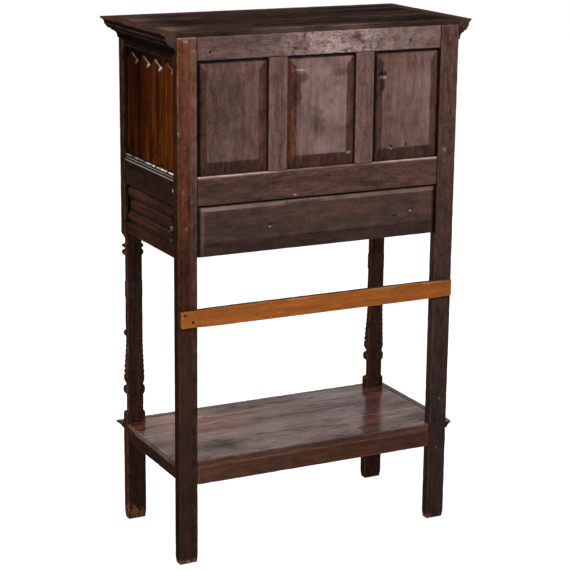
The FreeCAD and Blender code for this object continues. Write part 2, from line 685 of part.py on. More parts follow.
# Front frame and fixed centre panel
front_span = (FRONT, FRONT_RAIL)
mortises = [stile_tenon(side, FRONT_MID, "top", "1") for _, side in SIDES]
bay = (f"-{MUNTIN_IN} - dims.groove_depth", f"{MUNTIN_IN} + dims.groove_depth")
groove = box(bay, about(FRONT_MID, HALF_GROOVE), (RAIL_LOW, f"{RAIL_LOW} + dims.groove_depth"))
width_rail("front_top_rail", front_span, FRONT_MID, TOP_SPAN, mortises + [groove])
mortises = [stile_tenon(side, FRONT_MID, "foot", "1") for _, side in SIDES]
groove = box(bay, about(FRONT_MID, HALF_GROOVE), (f"{FLOOR} - dims.groove_depth", FLOOR))
housing = box((f"-{IN}", IN), (f"{FRONT_RAIL} - {HOUSING}", FRONT_RAIL), (FLOOR_LOW, FLOOR_TOP))
width_rail("front_mid_rail", front_span, FRONT_MID, MID_SPAN, mortises + [groove, housing])
width_rail("front_bottom_rail", front_span, FRONT_MID, SILL_SPAN, [])
for name, side in SIDES:
    muntin(f"front_stile_{name}", side, front_span, FRONT_MID, ("inner",))
slab = box((f"-{MUNTIN_IN} - {tongue}", f"{MUNTIN_IN} + {tongue}"), about(FRONT_MID, HALF_TONGUE),
           (f"{FLOOR} - {tongue}", f"{RAIL_LOW} + {tongue}"))
carving = folds(f"({BAY} - 2 * dims.fold_margin)", PANEL_RUN, 3, "dims.fold_point")
put(carving, (f"dims.fold_margin - {MUNTIN_IN}", f"{FRONT_MID} - {HALF_TONGUE}",
              f"{FLOOR} + dims.fold_margin"))
keep(fuse([slab, carving]), "front_centre_panel")

# Top board and cornice
keep(box((f"-{OUT}", OUT), (FRONT, BACK), (POST_TOP, "dims.total_height")), "top_board")
OVER = "dims.cornice_projection"
TALL = "dims.cornice_height"
CORNICE = [("0", "0"), (f"0.07 * {OVER}", "0"), (f"0.07 * {OVER}", f"0.12 * {TALL}", f"0.06 * {OVER}"),
           (f"0.35 * {OVER}", f"0.35 * {TALL}"), (f"0.4 * {OVER}", f"0.35 * {TALL}"),
           (f"0.4 * {OVER}", f"0.41 * {TALL}", f"-0.07 * {OVER}"), (f"0.73 * {OVER}", f"0.63 * {TALL}"),
           (f"0.78 * {OVER}", f"0.63 * {TALL}"), (f"0.78 * {OVER}", f"0.69 * {TALL}", f"0.05 * {OVER}"),
           (f"0.95 * {OVER}", f"0.9 * {TALL}"), (OVER, f"0.9 * {TALL}"), (OVER, TALL), ("0", TALL)]
BASE = f"dims.total_height - {TALL}"
LENGTH_DEEP = f"(dims.body_depth + {OVER})"
LENGTH_WIDE = f"(dims.body_width + 2 * {OVER})"
moulding("cornice_right", CORNICE, LENGTH_DEEP, False, True, (OUT, BACK, BASE), FORWARD, OVER)
moulding("cornice_left", CORNICE, LENGTH_DEEP, True, False, (f"-{OUT}", f"{FRONT} - {OVER}", BASE),
         (-X_AXIS, Z_AXIS, Y_AXIS), OVER)
moulding("cornice_front", CORNICE, LENGTH_WIDE, True, True, (f"{OUT} + {OVER}", FRONT, BASE),
         (-Y_AXIS, Z_AXIS, -X_AXIS), OVER)

# Cabinet floor, drawer runners and door stops
floor_tall = (FLOOR_LOW, FLOOR_TOP)
floor_parts = [box((f"-{IN}", IN), (f"{FRONT_RAIL} - {HOUSING}", f"{BACK_RAIL} + {HOUSING}"), floor_tall),
               box((f"-{SIDE_RAIL}", SIDE_RAIL), (FRONT_IN, BACK_IN), floor_tall)]
keep(fuse(floor_parts), "cabinet_floor")
SLIDE_LEVEL = f"({SILL} + dims.drawer_play)"
PLANK_IN = f"({SIDE_MID} - {HALF_TONGUE})"
for name, side in SIDES:
    low = f"{SLIDE_LEVEL} - dims.runner_height"
    base = box(mirrored((f"{IN} - dims.runner_width", IN), side), (FRONT_RAIL, BACK_IN), (low, SLIDE_LEVEL))
    guide = box(mirrored((IN, PLANK_IN), side), (FRONT_IN, BACK_IN), (low, f"{low} + dims.guide_height"))
    keep(fuse([base, guide]), f"drawer_runner_{name}")
STOP_LOW = f"({RAIL_LOW} - dims.stop_drop)"
stop_wide = (f"{MUNTIN_OUT} + dims.stop_gap", f"{IN} - dims.stop_inset")
stop_deep = (FRONT_RAIL, f"{FRONT_RAIL} + dims.stop_thickness")
stop_tall = (STOP_LOW, f"{STOP_LOW} + dims.stop_height")
stops = [box(mirrored(stop_wide, side), stop_deep, stop_tall) for _, side in SIDES]
keep(group(stops), "door_stops")

# Shelf of the stand
SEAM = f"({FRONT_IN} + dims.shelf_seam)"
shelf_tall = (SHELF_LOW, SHELF)
EDGE = f"({OUT} - 1)"
keep(fuse([box((f"-{IN}", IN), (SEAM, f"{BACK} - 1"), shelf_tall),
           box((f"-{EDGE}", EDGE), (SEAM, BACK_IN), shelf_tall)]), "shelf_plank_rear")
NEAR_SEAM = f"{SEAM} - 0.6"
plank = fuse([box((f"-{IN}", IN), (FRONT, NEAR_SEAM), shelf_tall),
              box((f"-{EDGE}", EDGE), (FRONT_IN, NEAR_SEAM), shelf_tall)])
gap = box((f"{EDGE} - dims.plank_gap_depth", f"{EDGE} + 1"), (f"{FRONT_IN} + 3", f"{SEAM} - 3"),
          (f"{SHELF_LOW} - 1", f"{SHELF_LOW} + dims.plank_gap_height"))
keep(cut(plank, [gap]), "shelf_plank_front")
width_rail("shelf_rail_rear", back_span, BACK_MID, SHELF_SPAN, [])
shelf_front_span = (SHELF_FRONT, f"{SHELF_FRONT} + dims.rail_thickness")
width_rail("shelf_rail_front", shelf_front_span, SHELF_FRONT_MID, SHELF_SPAN, [])
for name, side in SIDES:
    depth_rail(f"shelf_rail_{name}", side, side_wide, SHELF_SIDE_SPAN, [])
LIP = "dims.lip_projection"
RISE = "dims.lip_height"
LIP_SHAPE = [("0", "0"), (f"0.16 * {LIP}", "0"), (f"0.16 * {LIP}", f"0.12 * {RISE}", f"0.1 * {LIP}"),
             (f"0.9 * {LIP}", f"0.68 * {RISE}"), (LIP, f"0.72 * {RISE}"), (LIP, RISE), ("0", RISE)]
LIP_BASE = f"{SHELF} - {RISE}"
moulding("shelf_moulding_front", LIP_SHAPE, f"(dims.body_width + 2 * {LIP})", True, True,
         (f"{OUT} + {LIP}", FRONT, LIP_BASE), (-Y_AXIS, Z_AXIS, -X_AXIS), LIP)
moulding("shelf_moulding_left", LIP_SHAPE, f"(dims.body_depth + {LIP})", True, False,
         (f"-{OUT}", f"{FRONT} - {LIP}", LIP_BASE), (-X_AXIS, Z_AXIS, Y_AXIS), LIP)

# Batten across the back of the stand
holes = [nail_hole(side, spot) for _, side in SIDES for spot in NAIL_SPOTS]
batten = box((f"-{OUT}", OUT), (BACK, f"{BACK} + dims.batten_thickness"),
             ("dims.batten_level", "dims.batten_level + dims.batten_height"))
keep(cut(batten, holes), "back_batten")
# The nails on the right show a forged head, those on the left are sunk
nails = []
for _, side in SIDES:
    sign = "" if side > 0 else "-"
    sunk = "0" if side > 0 else "1"
    for across, level in NAIL_SPOTS:
        wide = about(f"{sign}{across}", "dims.nail_half")
        face = f"{BACK} + dims.batten_thickness"
        shank = box(wide, (f"{BACK} - dims.nail_depth + 0.6", f"{face} - {sunk}"),
                    about(level, "dims.nail_half"))
        base = (about(f"{sign}{across}", "dims.nail_head_half"), about(level, "dims.nail_head_half"))
        crown = (wide, about(level, "dims.nail_half"))
        head = raised(face, base, f"{face} + dims.nail_head_height", crown) if side > 0 else None
        nails.append(fuse([shank, head]) if head else shank)
keep(group(nails), "batten_nails")

# Doors with straps, pintles and latches
PIN_DEEP = f"({FRONT} - dims.pin_offset)"
HINGE_LEVELS = (f"({FLOOR} + dims.hinge_inset)", f"({RAIL_LOW} - dims.hinge_inset)")
DOOR_LOW = f"({FLOOR} + dims.door_play)"
DOOR_HIGH = f"({RAIL_LOW} - dims.door_play)"
DOOR_BACK = f"({FRONT_RAIL} - dims.door_back_play)"
DOOR_FREE = f"({MUNTIN_OUT} + dims.door_gap)"
DOOR_HUNG = f"({IN} - dims.hinge_gap)"
LATCH_AT = f"({DOOR_FREE} + dims.latch_inset)"
LATCH_LEVEL = f"(({FLOOR} + {RAIL_LOW}) / 2)"
EYE_HALF = "dims.eye_height / 2"
# Faceted knob: half width and distance before the door, as shares of the spindle radius
KNOB = ((2.3, 0.1), (2.3, 0.65), (1.3, 1.0), (0.95, 1.7), (1.2, 2.4), (2.3, 3.2), (2.6, 4.2), (2.2, 5.3),
        (1.2, 6.0))
pintles = []
for name, side in SIDES:
    sign = "" if side > 0 else "-"
    plank = box(mirrored((DOOR_FREE, DOOR_HUNG), side), (FRONT, DOOR_BACK), (DOOR_LOW, DOOR_HIGH))
    field_wide = (f"{DOOR_FREE} + dims.latch_margin", f"{DOOR_HUNG} - dims.door_margin")
    field_tall = (f"{DOOR_LOW} + dims.door_band", f"{DOOR_HIGH} - dims.door_band")
    ground = f"{FRONT} + dims.fold_relief + dims.recess_extra"
    recess = box(mirrored(field_wide, side), (FRONT, ground), field_tall)
    hole = rod("dims.spindle_radius + dims.running_gap", "dims.front_thickness + 10",
               (f"{sign}{LATCH_AT}", f"{FRONT} - 5", LATCH_LEVEL), "y")
    across = f"(({field_wide[1]}) - ({field_wide[0]}) - 2 * dims.carving_inset)"
    upright = f"(({field_tall[1]}) - ({field_tall[0]}) - 2 * dims.carving_inset)"
    carving = folds(across, upright, 3, "dims.lying_point")
    corner = mirrored(field_wide, side)[0]
    put(carving, (f"{corner} + dims.carving_inset", ground, f"{field_tall[0]} + dims.carving_inset"))
    keep(fuse([cut(plank, [recess, hole]), carving]), f"door_{name}")
    straps = []
    for level in HINGE_LEVELS:
        eye_low = f"{level} - {EYE_HALF}"
        eye = rod("dims.eye_radius", "dims.eye_height", (f"{sign}{IN}", PIN_DEEP, eye_low), "z")
        body = doc.addObject("PartDesign::Body", "strap")
        half = "dims.strap_width / 2"
        run = "dims.strap_length"
        corners = [("0.6", f"-({half} - 2.5)"), (f"0.7 * {run}", f"-0.6 * {half}"),
                   (f"0.77 * {run}", f"-1.1 * {half}"), (run, "0"), (f"0.77 * {run}", f"1.1 * {half}"),
                   (f"0.7 * {run}", f"0.6 * {half}"), ("0.6", f"{half} - 2.5")]
        corners = [(f"{'-' if side > 0 else ''}({across})", tall) for across, tall in corners]
        pad(body, outline(body, "XZ_Plane", corners), "dims.strap_thickness")
        put(body, (f"{sign}{IN}", FRONT, level))
        bore = rod("dims.pin_radius + dims.running_gap", "dims.eye_height + 4",
                   (f"{sign}{IN}", PIN_DEEP, f"{level} - {EYE_HALF} - 2"), "z")
        straps.append(cut(fuse([body, eye]), [bore]))
        base_top = f"({level} - {EYE_HALF} - 0.4)"
        base_low = f"({base_top} - dims.pintle_base)"
        plate = box(mirrored((f"{IN} + dims.eye_radius + 2", f"{IN} + dims.pintle_reach"), side),
                    (f"{FRONT} - dims.strap_thickness", FRONT), (base_low, f"{base_low} + dims.pintle_plate"))
        arm = box(mirrored((IN, f"{IN} + dims.eye_radius + 4"), side), (f"{PIN_DEEP} - 3", FRONT),
                  (base_low, base_top))
        foot = (f"{sign}{IN}", PIN_DEEP, base_low)
        collar = rod("dims.eye_radius", "dims.pintle_base", foot, "z")
        pin = rod("dims.pin_radius", "dims.eye_height + dims.pintle_base + 2", foot, "z")
        pintles.append(fuse([plate, arm, collar, pin]))
    keep(group(straps), f"door_straps_{name}")
    size = "dims.spindle_radius"
    knob = faceted([(f"{wide} * {size}", f"{ahead} * {size}") for wide, ahead in KNOB])
    put(knob, (f"{sign}{LATCH_AT}", FRONT, LATCH_LEVEL))
    spindle = rod(size, f"0.9 * {size} + dims.front_thickness + dims.latch_tip",
                  (f"{sign}{LATCH_AT}", f"{FRONT} - 0.9 * {size}", LATCH_LEVEL), "y")
    keep(fuse([knob, spindle]), f"latch_knob_{name}")
    bar_span = (f"{FRONT_RAIL} + 0.4", f"{FRONT_RAIL} + 0.4 + dims.latch_thickness")
    bar = box(about(f"{sign}{LATCH_AT}", "dims.latch_height / 2"), bar_span,
              about(LATCH_LEVEL, "dims.latch_half"))
    seat = rod(size, "dims.front_thickness + dims.latch_tip + 3",
               (f"{sign}{LATCH_AT}", FRONT, LATCH_LEVEL), "y")
    keep(cut(bar, [seat]), f"latch_bar_{name}")
keep(group(pintles), "hinge_pintles")

# Drawer with its ring pull
SIDE_OUT = f"({IN} - dims.drawer_play)"
WALL_LOW = f"({SLIDE_LEVEL} + 0.3)"
WALL_HIGH = f"({WALL_LOW} + dims.drawer_wall)"
FACE_LOW = f"({SILL} + dims.drawer_play)"
FACE_HIGH = f"({MID_LOW} - dims.drawer_play)"
FACE_BACK = f"({FRONT} + dims.rail_thickness)"
LAP = "(dims.rail_thickness / 2)"
END = f"({FRONT} + dims.drawer_length)"
wall = "dims.drawer_board"
face_wide = (f"-{SIDE_OUT}", SIDE_OUT)
face_tall = (FACE_LOW, FACE_HIGH)
rise = "dims.bevel_rise"
field_wide = (f"-{SIDE_OUT} + dims.face_bevel", f"{SIDE_OUT} - dims.face_bevel")
field_tall = (f"{FACE_LOW} + dims.face_bevel", f"{FACE_HIGH} - dims.face_bevel")
face = fuse([box(face_wide, (f"{FRONT} + {rise}", FACE_BACK), face_tall),
             raised(FRONT, (field_wide, field_tall), f"{FRONT} + {rise}", (face_wide, face_tall))])
BOTTOM_LOW = f"({WALL_LOW} + dims.bottom_rise)"
BOTTOM_HIGH = f"({BOTTOM_LOW} + dims.drawer_bottom)"
inner = f"({SIDE_OUT} - {wall})"
slot = f"({inner} + dims.plough_depth)"
laps = [box(mirrored((inner, SIDE_OUT), side), (f"{FACE_BACK} - {LAP}", FACE_BACK), (WALL_LOW, WALL_HIGH))
        for _, side in SIDES]
laps.append(box((f"-{slot}", slot), (f"{FACE_BACK} - dims.plough_depth", FACE_BACK),
                (BOTTOM_LOW, BOTTOM_HIGH)))
keep(cut(face, laps), "drawer_front")
for name, side in SIDES:
    board = box(mirrored((inner, SIDE_OUT), side), (f"{FACE_BACK} - {LAP}", END), (WALL_LOW, WALL_HIGH))
    plough = box(mirrored((inner, slot), side), (f"{FACE_BACK} - dims.plough_depth", END),
                 (BOTTOM_LOW, BOTTOM_HIGH))
    keep(cut(board, [plough]), f"drawer_side_{name}")
keep(box((f"-{inner}", inner), (f"{END} - {wall}", END),
         (BOTTOM_HIGH, f"{WALL_HIGH} - dims.drawer_back_drop")), "drawer_back")
keep(box((f"-{slot} + 0.3", f"{slot} - 0.3"), (f"{FACE_BACK} - dims.plough_depth + 0.3", END),
         (BOTTOM_LOW, BOTTOM_HIGH)), "drawer_bottom")
RING_LEVEL = f"({FACE_HIGH} - dims.ring_drop)"
RING_DEEP = f"({FRONT} - dims.plate_thickness - dims.knuckle_radius)"
plate = faceted([("dims.plate_radius", "0"), ("0.92 * dims.plate_radius", "dims.plate_thickness")])
put(plate, ("0", FRONT, RING_LEVEL))
knuckle = rod("dims.knuckle_radius", "dims.knuckle_length",
              ("-dims.knuckle_length / 2", RING_DEEP, RING_LEVEL), "x")
root = box(about("0", "dims.knuckle_length / 2"), (RING_DEEP, f"{FRONT} - dims.plate_thickness"),
           about(RING_LEVEL, "dims.knuckle_radius"))
bore = rod("dims.ring_wire + dims.running_gap", "dims.knuckle_length + 8",
           ("-dims.knuckle_length / 2 - 4", RING_DEEP, RING_LEVEL), "x")
keep(cut(fuse([plate, knuckle, root]), [bore]), "ring_plate")
half_chord = "(dims.ring_radius / 2)"
drop = "(dims.ring_radius * sqrt(3) / 2)"
wire = "dims.ring_wire"
edge = f"(0.86 * {wire})"
square = [(f"dims.ring_radius + {edge}", f"-{edge}"), (f"dims.ring_radius + {edge}", edge),
          (f"dims.ring_radius - {edge}", edge), (f"dims.ring_radius - {edge}", f"-{edge}")]
hoop = doc.addObject("PartDesign::Body", "hoop")
section = outline(hoop, "XZ_Plane", square)
bent = hoop.newObject("PartDesign::Revolution", "bent")
bent.Profile = section
bent.ReferenceAxis = (section, ["V_Axis"])
bent.Angle = 300
turn = FreeCAD.Rotation(X_AXIS, 90) * FreeCAD.Rotation(Z_AXIS, 120)
hoop.Placement = FreeCAD.Placement(Vector(0, 0, 0), turn)
put(hoop, ("0", RING_DEEP, f"{RING_LEVEL} - {drop}"))
overlap = f"({half_chord} + 0.55 * {wire})"
bar = rod(wire, f"2 * {overlap}", (f"-{overlap}", RING_DEEP, RING_LEVEL), "x")
keep(fuse([hoop, bar]), "drawer_ring")

doc.recompute()
for item in doc.Objects:
    if "Invalid" in item.State or "Error" in item.State:
        raise RuntimeError(f"{item.Label} does not build: {item.State}")
for item in NODES:
    shape = item.Shape
    if shape.isNull() or not shape.isValid() or not shape.Solids:
        raise RuntimeError(f"{item.Label} has no sound solid")
    shape.exportStep(f"parts/{item.Label}.step")
    print(f"{item.Label}: {len(shape.Solids)} solid, {shape.Volume / 1000:.1f} cm3")
print(len(NODES), "pieces")
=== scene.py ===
import itertools
import math

import bpy
import numpy as np
from mathutils import Matrix, Vector


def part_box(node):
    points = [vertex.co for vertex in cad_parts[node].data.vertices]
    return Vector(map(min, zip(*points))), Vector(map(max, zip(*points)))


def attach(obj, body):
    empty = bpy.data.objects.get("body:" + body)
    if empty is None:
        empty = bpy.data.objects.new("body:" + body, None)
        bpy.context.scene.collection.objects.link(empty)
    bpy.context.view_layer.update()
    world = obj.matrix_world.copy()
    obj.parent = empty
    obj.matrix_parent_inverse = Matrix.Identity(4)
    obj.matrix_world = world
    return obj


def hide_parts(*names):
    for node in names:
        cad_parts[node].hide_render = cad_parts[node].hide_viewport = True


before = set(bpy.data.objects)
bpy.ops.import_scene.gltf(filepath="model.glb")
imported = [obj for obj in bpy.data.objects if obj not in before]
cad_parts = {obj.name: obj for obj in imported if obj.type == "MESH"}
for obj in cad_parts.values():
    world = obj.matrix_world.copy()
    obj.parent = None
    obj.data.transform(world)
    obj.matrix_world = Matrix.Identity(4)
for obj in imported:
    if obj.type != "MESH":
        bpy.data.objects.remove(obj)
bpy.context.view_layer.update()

MM = 0.001


def corners(node):
    """Lowest and highest corner of a node as arrays."""
    return [np.array(corner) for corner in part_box(node)]


# Lines of the cabinet, in metres, read from the frame
POST_LOW, POST_HIGH = corners("post_rear_right")
IN, OUT = POST_LOW[0], POST_HIGH[0]
BACK_IN, BACK = POST_LOW[1], POST_HIGH[1]
POST_TOP = POST_HIGH[2]
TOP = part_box("top_board")[1].z
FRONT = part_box("front_top_rail")[0].y
FRONT_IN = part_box("post_front_right")[1].y
RAIL_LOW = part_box("back_top_rail")[0].z
MID_LOW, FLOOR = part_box("back_mid_rail")[0].z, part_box("back_mid_rail")[1].z
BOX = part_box("back_lower_panel")[0].z
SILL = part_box("front_bottom_rail")[1].z
SHELF_LOW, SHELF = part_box("shelf_plank_rear")[0].z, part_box("shelf_plank_rear")[1].z
BACK_RAIL, BACK_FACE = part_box("back_top_rail")[0].y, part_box("back_top_rail")[1].y
SIDE_RAIL, SIDE_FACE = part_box("side_top_rail_right")[0].x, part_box("side_top_rail_right")[1].x
FRONT_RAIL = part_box("front_top_rail")[1].y
MUNTIN_IN, MUNTIN_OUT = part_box("front_stile_right")[0].x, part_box("front_stile_right")[1].x
PANEL_REAR, PANEL_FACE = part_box("back_panel_centre")[0].y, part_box("back_panel_centre")[1].y
FOLD_REAR, FOLD_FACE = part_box("side_linenfold_right")[0].x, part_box("side_linenfold_right")[1].x
SIDES = (("left", -1), ("right", 1))


# Numbers that look random but are the same each time

def hashed(key):
    """Whole numbers to values from -1 to 1: multiplied, folded on themselves twice, and scaled."""
    key = key.astype(np.uint64)
    key = (key ^ (key >> np.uint64(15))) * np.uint64(0x2C1B3C6D)
    key = key & np.uint64(0xFFFFFFFF)
    key = (key ^ (key >> np.uint64(12))) * np.uint64(0x297A2D39)
    key = key & np.uint64(0xFFFFFFFF)
    key = key ^ (key >> np.uint64(15))
    return key.astype(float) / 2.0 ** 31 - 1.0


def ripple(places, scale, seed):
    """Smooth noise from -1 to 1: values on a lattice of the given scale (one or three lengths), blended
    between the eight nearest lattice points with the smooth step 3t^2 - 2t^3."""
    cell = places / scale
    base = np.floor(cell).astype(np.int64)
    step = cell - base
    step = step * step * (3 - 2 * step)
    total = np.zeros(len(places))
    for corner in itertools.product((0, 1), repeat=3):
        near = base + np.array(corner) + 5000
        key = near[:, 0] * 73856 + near[:, 1] * 19349663 + near[:, 2] * 834927 + seed * 7919
        weight = np.prod(np.where(np.array(corner), step, 1 - step), axis=1)
        total += weight * hashed(key)
    return total


def noise(places, scale, seed):
    """Smooth noise from 0 to 1."""
    return 0.5 + 0.5 * ripple(places, scale, seed)


def noise_on(a, b, scale, seed):
    """Smooth noise from 0 to 1 over a face."""
    return noise(np.stack([a, 0 * a, b], -1), scale, seed)


def ease(values):
    """Smooth step from 0 to 1."""
    values = np.clip(values, 0, 1)
    return values * values * (3 - 2 * values)


def climb(values, start, run):
    """Smooth step from 0 at the start to 1 a run after it."""
    return ease((values - start) / run)


def fade(values, end, run):
    """Smooth step from 1 a run before the end to 0 at the end."""
    return ease((end - values) / run)


def bell(values, middle, width, power=2):
    """Bell from 0 to 1: the exponential of minus the distance from the middle, in widths, to the power."""
    return np.exp(-((values - middle) / width) ** power)


# Surfaces

def lattice(counts):
    """Surface of a box of whole-number steps: a grid on each of the six sides, merged where sides meet.
    Gives the places (whole numbers) and the quads, wound outwards."""
    places, quads, first = [], [], 0
    for axis in range(3):
        one, two = (axis + 1) % 3, (axis + 2) % 3
        grid = np.meshgrid(np.arange(counts[one] + 1), np.arange(counts[two] + 1), indexing="ij")
        index = np.arange(grid[0].size).reshape(grid[0].shape)
        ring = [index[:-1, :-1], index[1:, :-1], index[1:, 1:], index[:-1, 1:]]
        face = np.stack(ring, -1).reshape(-1, 4)
        for end in (0, 1):
            spot = np.zeros((grid[0].size, 3), np.int64)
            spot[:, axis] = end * counts[axis]
            spot[:, one], spot[:, two] = grid[0].ravel(), grid[1].ravel()
            places.append(spot)
            quads.append((face if end else face[:, ::-1]) + first)
            first += len(spot)
    places, quads = np.concatenate(places), np.concatenate(quads)
    key = (places[:, 0] * (counts[1] + 1) + places[:, 1]) * (counts[2] + 1) + places[:, 2]
    _, keep, back = np.unique(key, return_index=True, return_inverse=True)
    return places[keep], back.ravel()[quads]


def stations(low, high, round_off, pitch, extra=()):
    """Places along one side of a board: close together on the rounded edges, even in between."""
    room = high - low
    round_off = min(round_off, 0.45 * room)
    ends = round_off * np.array([0, 0.35, 0.7, 1.0, 2.0, 3.6])
    ends = ends[ends < 0.5 * room]
    count = max(2, int(round((room - 2 * ends[-1]) / pitch)) + 1)
    middle = np.linspace(low + ends[-1], high - ends[-1], count)
    inner = [spot for spot in extra if low + ends[-1] < spot < high - ends[-1]]
    return np.unique(np.round(np.concatenate([low + ends, middle, high - ends, inner]), 6))


MARK_STEPS = (-1.1, -0.6, -0.2, 0.2, 0.6, 1.1)
GRAIN_AXES = {"x": (0, 1, 2), "y": (1, 0, 2), "z": (2, 0, 1)}
SEEDS = itertools.count(11)


def rounded_board(low, high, round_off, pitch, extra):
    """Board with rounded edges: each point of a box surface goes to the nearest point of the box shrunk by
    the radius, and from there out again by the radius. Gives points, quads, outward directions and how near
    each point is to an edge (1 on it, falling to 0 with an exponential of 5 mm)."""
    lines = [stations(low[k], high[k], round_off, pitch[k], extra[k]) for k in range(3)]
    spots, quads = lattice([len(line) - 1 for line in lines])
    points = np.stack([lines[k][spots[:, k]] for k in range(3)], -1)
    radius = np.minimum(round_off, 0.45 * (high - low).min())
    inner = np.clip(points, low + radius, high - radius)
    way = points - inner
    out = way / np.maximum(np.linalg.norm(way, axis=1, keepdims=True), 1e-9)
    gap = np.sort(np.minimum(points - low, high - points), axis=1)[:, 1]
    return inner + out * radius, quads, out, np.exp(-gap / 0.005)


def grain_of(points, axis, seed):
    """Wood coordinates of a piece: along, across and through the board, shifted by an amount of its own."""
    order = GRAIN_AXES[axis]
    shift = hashed(np.arange(3) + seed * 17 + 3) * np.array([3.0, 0.7, 0.7])
    return points[:, order] + shift


def age(points, out, edge, axis, seed, wave, chips):
    """Wears a board: long waves along the grain, small dents, and chips where the noise along an edge is
    high. All of it goes inwards along the outward direction. Gives the points and the wear."""
    stretch = np.ones(3) * 0.07
    stretch[GRAIN_AXES[axis][0]] = 0.3
    sunk = wave * noise(points, stretch, seed)
    stretch = np.ones(3) * 0.009
    stretch[GRAIN_AXES[axis][0]] = 0.02
    sunk += 0.25 * wave * noise(points, stretch, seed + 1)
    coarse = np.clip(ripple(points, 0.017, seed + 2) - 0.32, 0, 1)
    bite = coarse + 0.6 * np.clip(ripple(points, 0.007, seed + 3) - 0.45, 0, 1)
    sharp = np.clip(edge - 0.55, 0, 1) / 0.45
    sunk += chips * bite * sharp
    return points - out * sunk[:, None], np.clip(edge + 0.8 * bite * sharp, 0, 1.4)


def add_piece(name, points, quads, grain, traits, body, nodes, material, sharp=None):
    """Puts a surface into a mesh with its wood coordinates and its traits (wear, dirt and painted shade,
    tone with painted light and shade, and bloom with painted sheen and highlights, one number a point), a
    material and a body to ride on. sharp is the angle in degrees of a hard edge."""
    mesh = bpy.data.meshes.new(name)
    mesh.from_pydata(points.tolist(), [], quads)
    layer = mesh.attributes.new("grain", "FLOAT_VECTOR", "POINT")
    layer.data.foreach_set("vector", grain.astype(np.float32).ravel())
    for label, start in (("wear", 0.0), ("dirt_and_shade", 0.0), ("tone", 1.0), ("bloom_and_sheen", 0.0)):
        values = traits.get(label, np.full(len(points), start))
        layer = mesh.attributes.new(label, "FLOAT", "POINT")
        layer.data.foreach_set("value", values.astype(np.float32))
    mesh.polygons.foreach_set("use_smooth", np.ones(len(mesh.polygons), bool))
    if sharp:
        mesh.set_sharp_from_angle(angle=math.radians(sharp))
    mesh.update()
    piece = bpy.data.objects.new(name, mesh)
    bpy.context.scene.collection.objects.link(piece)
    mesh.materials.append(MATERIALS[material])
    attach(piece, body)
    if nodes:
        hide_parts(*nodes)


def board(name, low, high, axis, material="dark", face=None, carve=None, marks=(), look=None, shape=None,
          body="carcass", round_off=1.8, pitch=(8, 6), wave=0.5, chips=3,
          extra=((), (), ())):
    """Worn plank between two corners with its grain along one axis. face is the axis and side of its show
    face. carve(a, b) gives, over that face, how deep it is cut, its wear, its dirt and painted shade, and
    its bloom and painted highlights, and each point moves in by the depth times its share of the thickness.
    A
    mark is a round spot on the face: place a, b, radius a, b, depth, dirt and bloom, which on some marks is
    a painted highlight. look(points) gives tone with painted light and shade, bloom with painted sheen, and
    maybe wear. shape(points) bends the finished plank. Radius of the edges, pitch of the points along and
    across the grain, waves and chips are in millimetres. extra has more places of points for each axis."""
    seed = next(SEEDS)
    low, high = np.array(low, float), np.array(high, float)
    round_off, wave, chips = round_off * MM, wave * MM, chips * MM
    steps = [pitch[1] * MM] * 3
    steps[GRAIN_AXES[axis][0]] = pitch[0] * MM
    extra = [list(lines) for lines in extra]
    if face:
        deep, side = face
        flat = [k for k in range(3) if k != deep]
        steps[deep] = (high - low)[deep]
        for mark in marks:
            for k in (0, 1):
                extra[flat[k]] += [mark[k] + mark[k + 2] * step for step in MARK_STEPS]
    rest, quads, out, edge = rounded_board(low, high, round_off, steps, extra)
    points, wear = age(rest, out, edge, axis, seed, wave, chips)
    tone, bloom_and_sheen, *rubbed_and_lit = look(rest) if look else (1, 0)
    tone, bloom_and_sheen, dirt_and_shade = (np.zeros(len(rest)) + start for start in (tone, bloom_and_sheen, 0))
    wear = np.maximum(wear, rubbed_and_lit[0]) if rubbed_and_lit else wear
    if face:
        share = (rest[:, deep] - low[deep]) / (high - low)[deep]
        share = share if side > 0 else 1 - share
        shown = share > 0.6
        a, b = rest[:, flat[0]], rest[:, flat[1]]
        if carve:
            sunk, worn, soil_and_shade, pale = carve(a, b)
            points[:, deep] -= side * sunk * np.clip(share, 0, 1)
            wear = np.where(shown, np.maximum(worn, wear * 0.6), wear)
            dirt_and_shade = np.where(shown, soil_and_shade, 0)
            bloom_and_sheen = np.where(shown, np.maximum(bloom_and_sheen, pale), bloom_and_sheen)
        for at_a, at_b, wide_a, wide_b, sunk, soil_and_shade, pale in marks:
            reach = ((a - at_a) / wide_a) ** 2 + ((b - at_b) / wide_b) ** 2
            broken = noise_on(a, b, max(0.6 * min(wide_a, wide_b), 3 * MM), seed + 5)
            spot = np.exp(-(reach * (0.3 + 1.5 * broken)) ** 2) * shown
            points[:, deep] -= side * sunk * spot
            dirt_and_shade = np.maximum(dirt_and_shade, soil_and_shade * spot)
            bloom_and_sheen = np.maximum(bloom_and_sheen * (1 - soil_and_shade * spot), pale * spot)
    if shape:
        points = shape(points)
    traits = {"wear": wear, "dirt_and_shade": dirt_and_shade, "tone": tone, "bloom_and_sheen": bloom_and_sheen}
    grain = grain_of(rest, axis, seed)
    add_piece(name, points, quads.tolist(), grain, traits, body, [name], material)


# Shader groups and materials

def new_group(name, inputs, outputs):
    """Empty shader group with named sockets, and the nodes that hold them."""
    tree = bpy.data.node_groups.new(name, "ShaderNodeTree")
    for label, kind in inputs:
        tree.interface.new_socket(label, in_out="INPUT", socket_type="NodeSocket" + kind)
    for label, kind in outputs:
        tree.interface.new_socket(label, in_out="OUTPUT", socket_type="NodeSocket" + kind)
    return tree, tree.nodes.new("NodeGroupInput").outputs, tree.nodes.new("NodeGroupOutput").inputs


